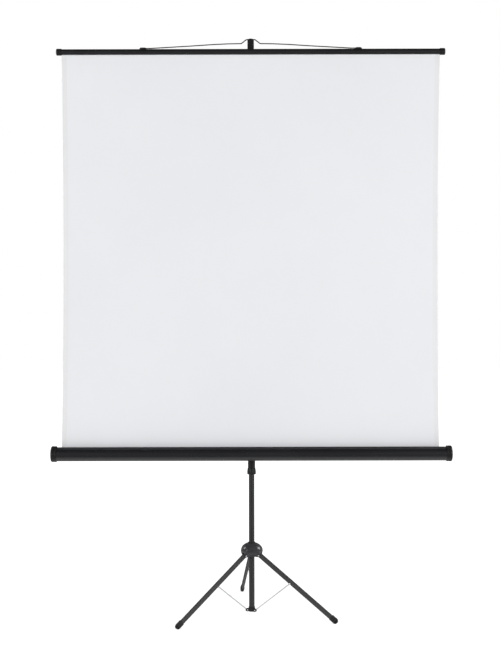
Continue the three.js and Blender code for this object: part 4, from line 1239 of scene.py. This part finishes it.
# Studio: a pale floor that goes white with distance, a white backdrop, softboxes in front and at the sides
studio = {
    "floorSize": 24, "floorTone": 0.85, "shadowShare": 0.45, "glow": (0.75, 1.0), "glowReach": (0.6, 2.6),
    "mirrorReach": (-0.9, -0.55), "mirrorFade": (0.35, 0.9), "ambient": 0.34, "backdrop": 0.5, "front": 0.3,
    "wallSpan": (-0.3, 0.3), "ceiling": 0.06, "ceilingSpan": (0.1, 0.75), "aim": (0, -0.13, 1.25),
    "softboxes": {
        "softboxRight": ((4.3, -4.4, 2.1), 2.4, 145), "softboxLeft": ((-4.3, -4.4, 2.1), 2.4, 134),
        "stripRight": ((3.2, 0.65, 2.55), 1.2, 66), "stripLeft": ((-3.2, 0.65, 2.55), 1.2, 34),
    },
}


def makeFloor():
    s = opened(studio)
    bm = bmesh.new()
    bmesh.ops.create_grid(bm, x_segments=1, y_segments=1, size=s.floorSize / 2)
    floor = addObject("studioFloor", meshFrom("studioFloor", bm))
    material, tree = newMaterial("paleFloor")
    tree.nodes.remove(tree.nodes["Principled BSDF"])
    seen = addNode(tree, "LightPath").outputs
    spot = addNode(tree, "TexCoord").outputs["Object"]
    plain = addNode(tree, "BsdfDiffuse", {"Color": gray(s.floorTone)}).outputs[0]
    shade = addNode(tree, "BsdfDiffuse", {"Color": gray(s.shadowShare)}).outputs[0]
    away = addNode(tree, "VectorMath", {0: spot}, operation="LENGTH").outputs["Value"]
    glow = addNode(tree, "Emission", {"Strength": mapValue(tree, away, *s.glow, *s.glowReach)}).outputs[0]
    pale = addNode(tree, "AddShader", {0: shade, 1: glow}).outputs[0]
    depth = addNode(tree, "SeparateXYZ", {0: spot}).outputs["Y"]
    near = mapValue(tree, depth, s.front, 1, *s.mirrorReach)
    far = mapValue(tree, depth, 1, s.backdrop, *s.mirrorFade)
    mirrored = addNode(tree, "Emission", {"Strength": calculate(tree, "MINIMUM", near, far)}).outputs[0]
    through = calculate(tree, "MAXIMUM", seen["Is Glossy Ray"], seen["Is Transmission Ray"])
    surface = mixShader(tree, through, plain, mirrored)
    surface = mixShader(tree, seen["Is Camera Ray"], surface, pale)
    fillNode(tree, tree.nodes["Material Output"], {"Surface": surface})
    floor.data.materials.append(material)


def makeLight():
    s = opened(studio)
    for name, (place, size, power) in s.softboxes.items():
        lamp = bpy.data.lights.new(name, "AREA")
        lamp.shape = "SQUARE"
        lamp.size = size
        lamp.energy = power
        holder = addObject(name, lamp)
        holder.location = place
        holder.rotation_euler = (Vector(s.aim) - Vector(place)).to_track_quat("-Z", "Y").to_euler()
    world = bpy.data.worlds.new("studioRoom")
    scene.world = world
    world.use_nodes = True
    tree = world.node_tree
    seen = addNode(tree, "LightPath").outputs
    way = addNode(tree, "SeparateXYZ", {0: addNode(tree, "TexCoord").outputs["Generated"]}).outputs
    wall = mapValue(tree, way["Y"], s.front, s.backdrop, *s.wallSpan)
    overhead = mapValue(tree, way["Z"], 0, 1, *s.ceilingSpan)
    above = mixColor(tree, overhead, wall, gray(s.ceiling))
    room = fillNode(tree, tree.nodes["Background"], {"Color": gray(s.ambient)}).outputs[0]
    mirrored = addNode(tree, "Background", {"Color": above}).outputs[0]
    white = addNode(tree, "Background", {"Color": gray(1)}).outputs[0]
    inMirror = mixShader(tree, seen["Is Glossy Ray"], room, mirrored)
    direct = calculate(tree, "MAXIMUM", seen["Is Camera Ray"], seen["Is Transmission Ray"])
    fillNode(tree, tree.nodes["World Output"], {"Surface": mixShader(tree, direct, inMirror, white)})


makeFloor()
makeLight()
scene.view_settings.view_transform = "Standard"
print("studio lit")
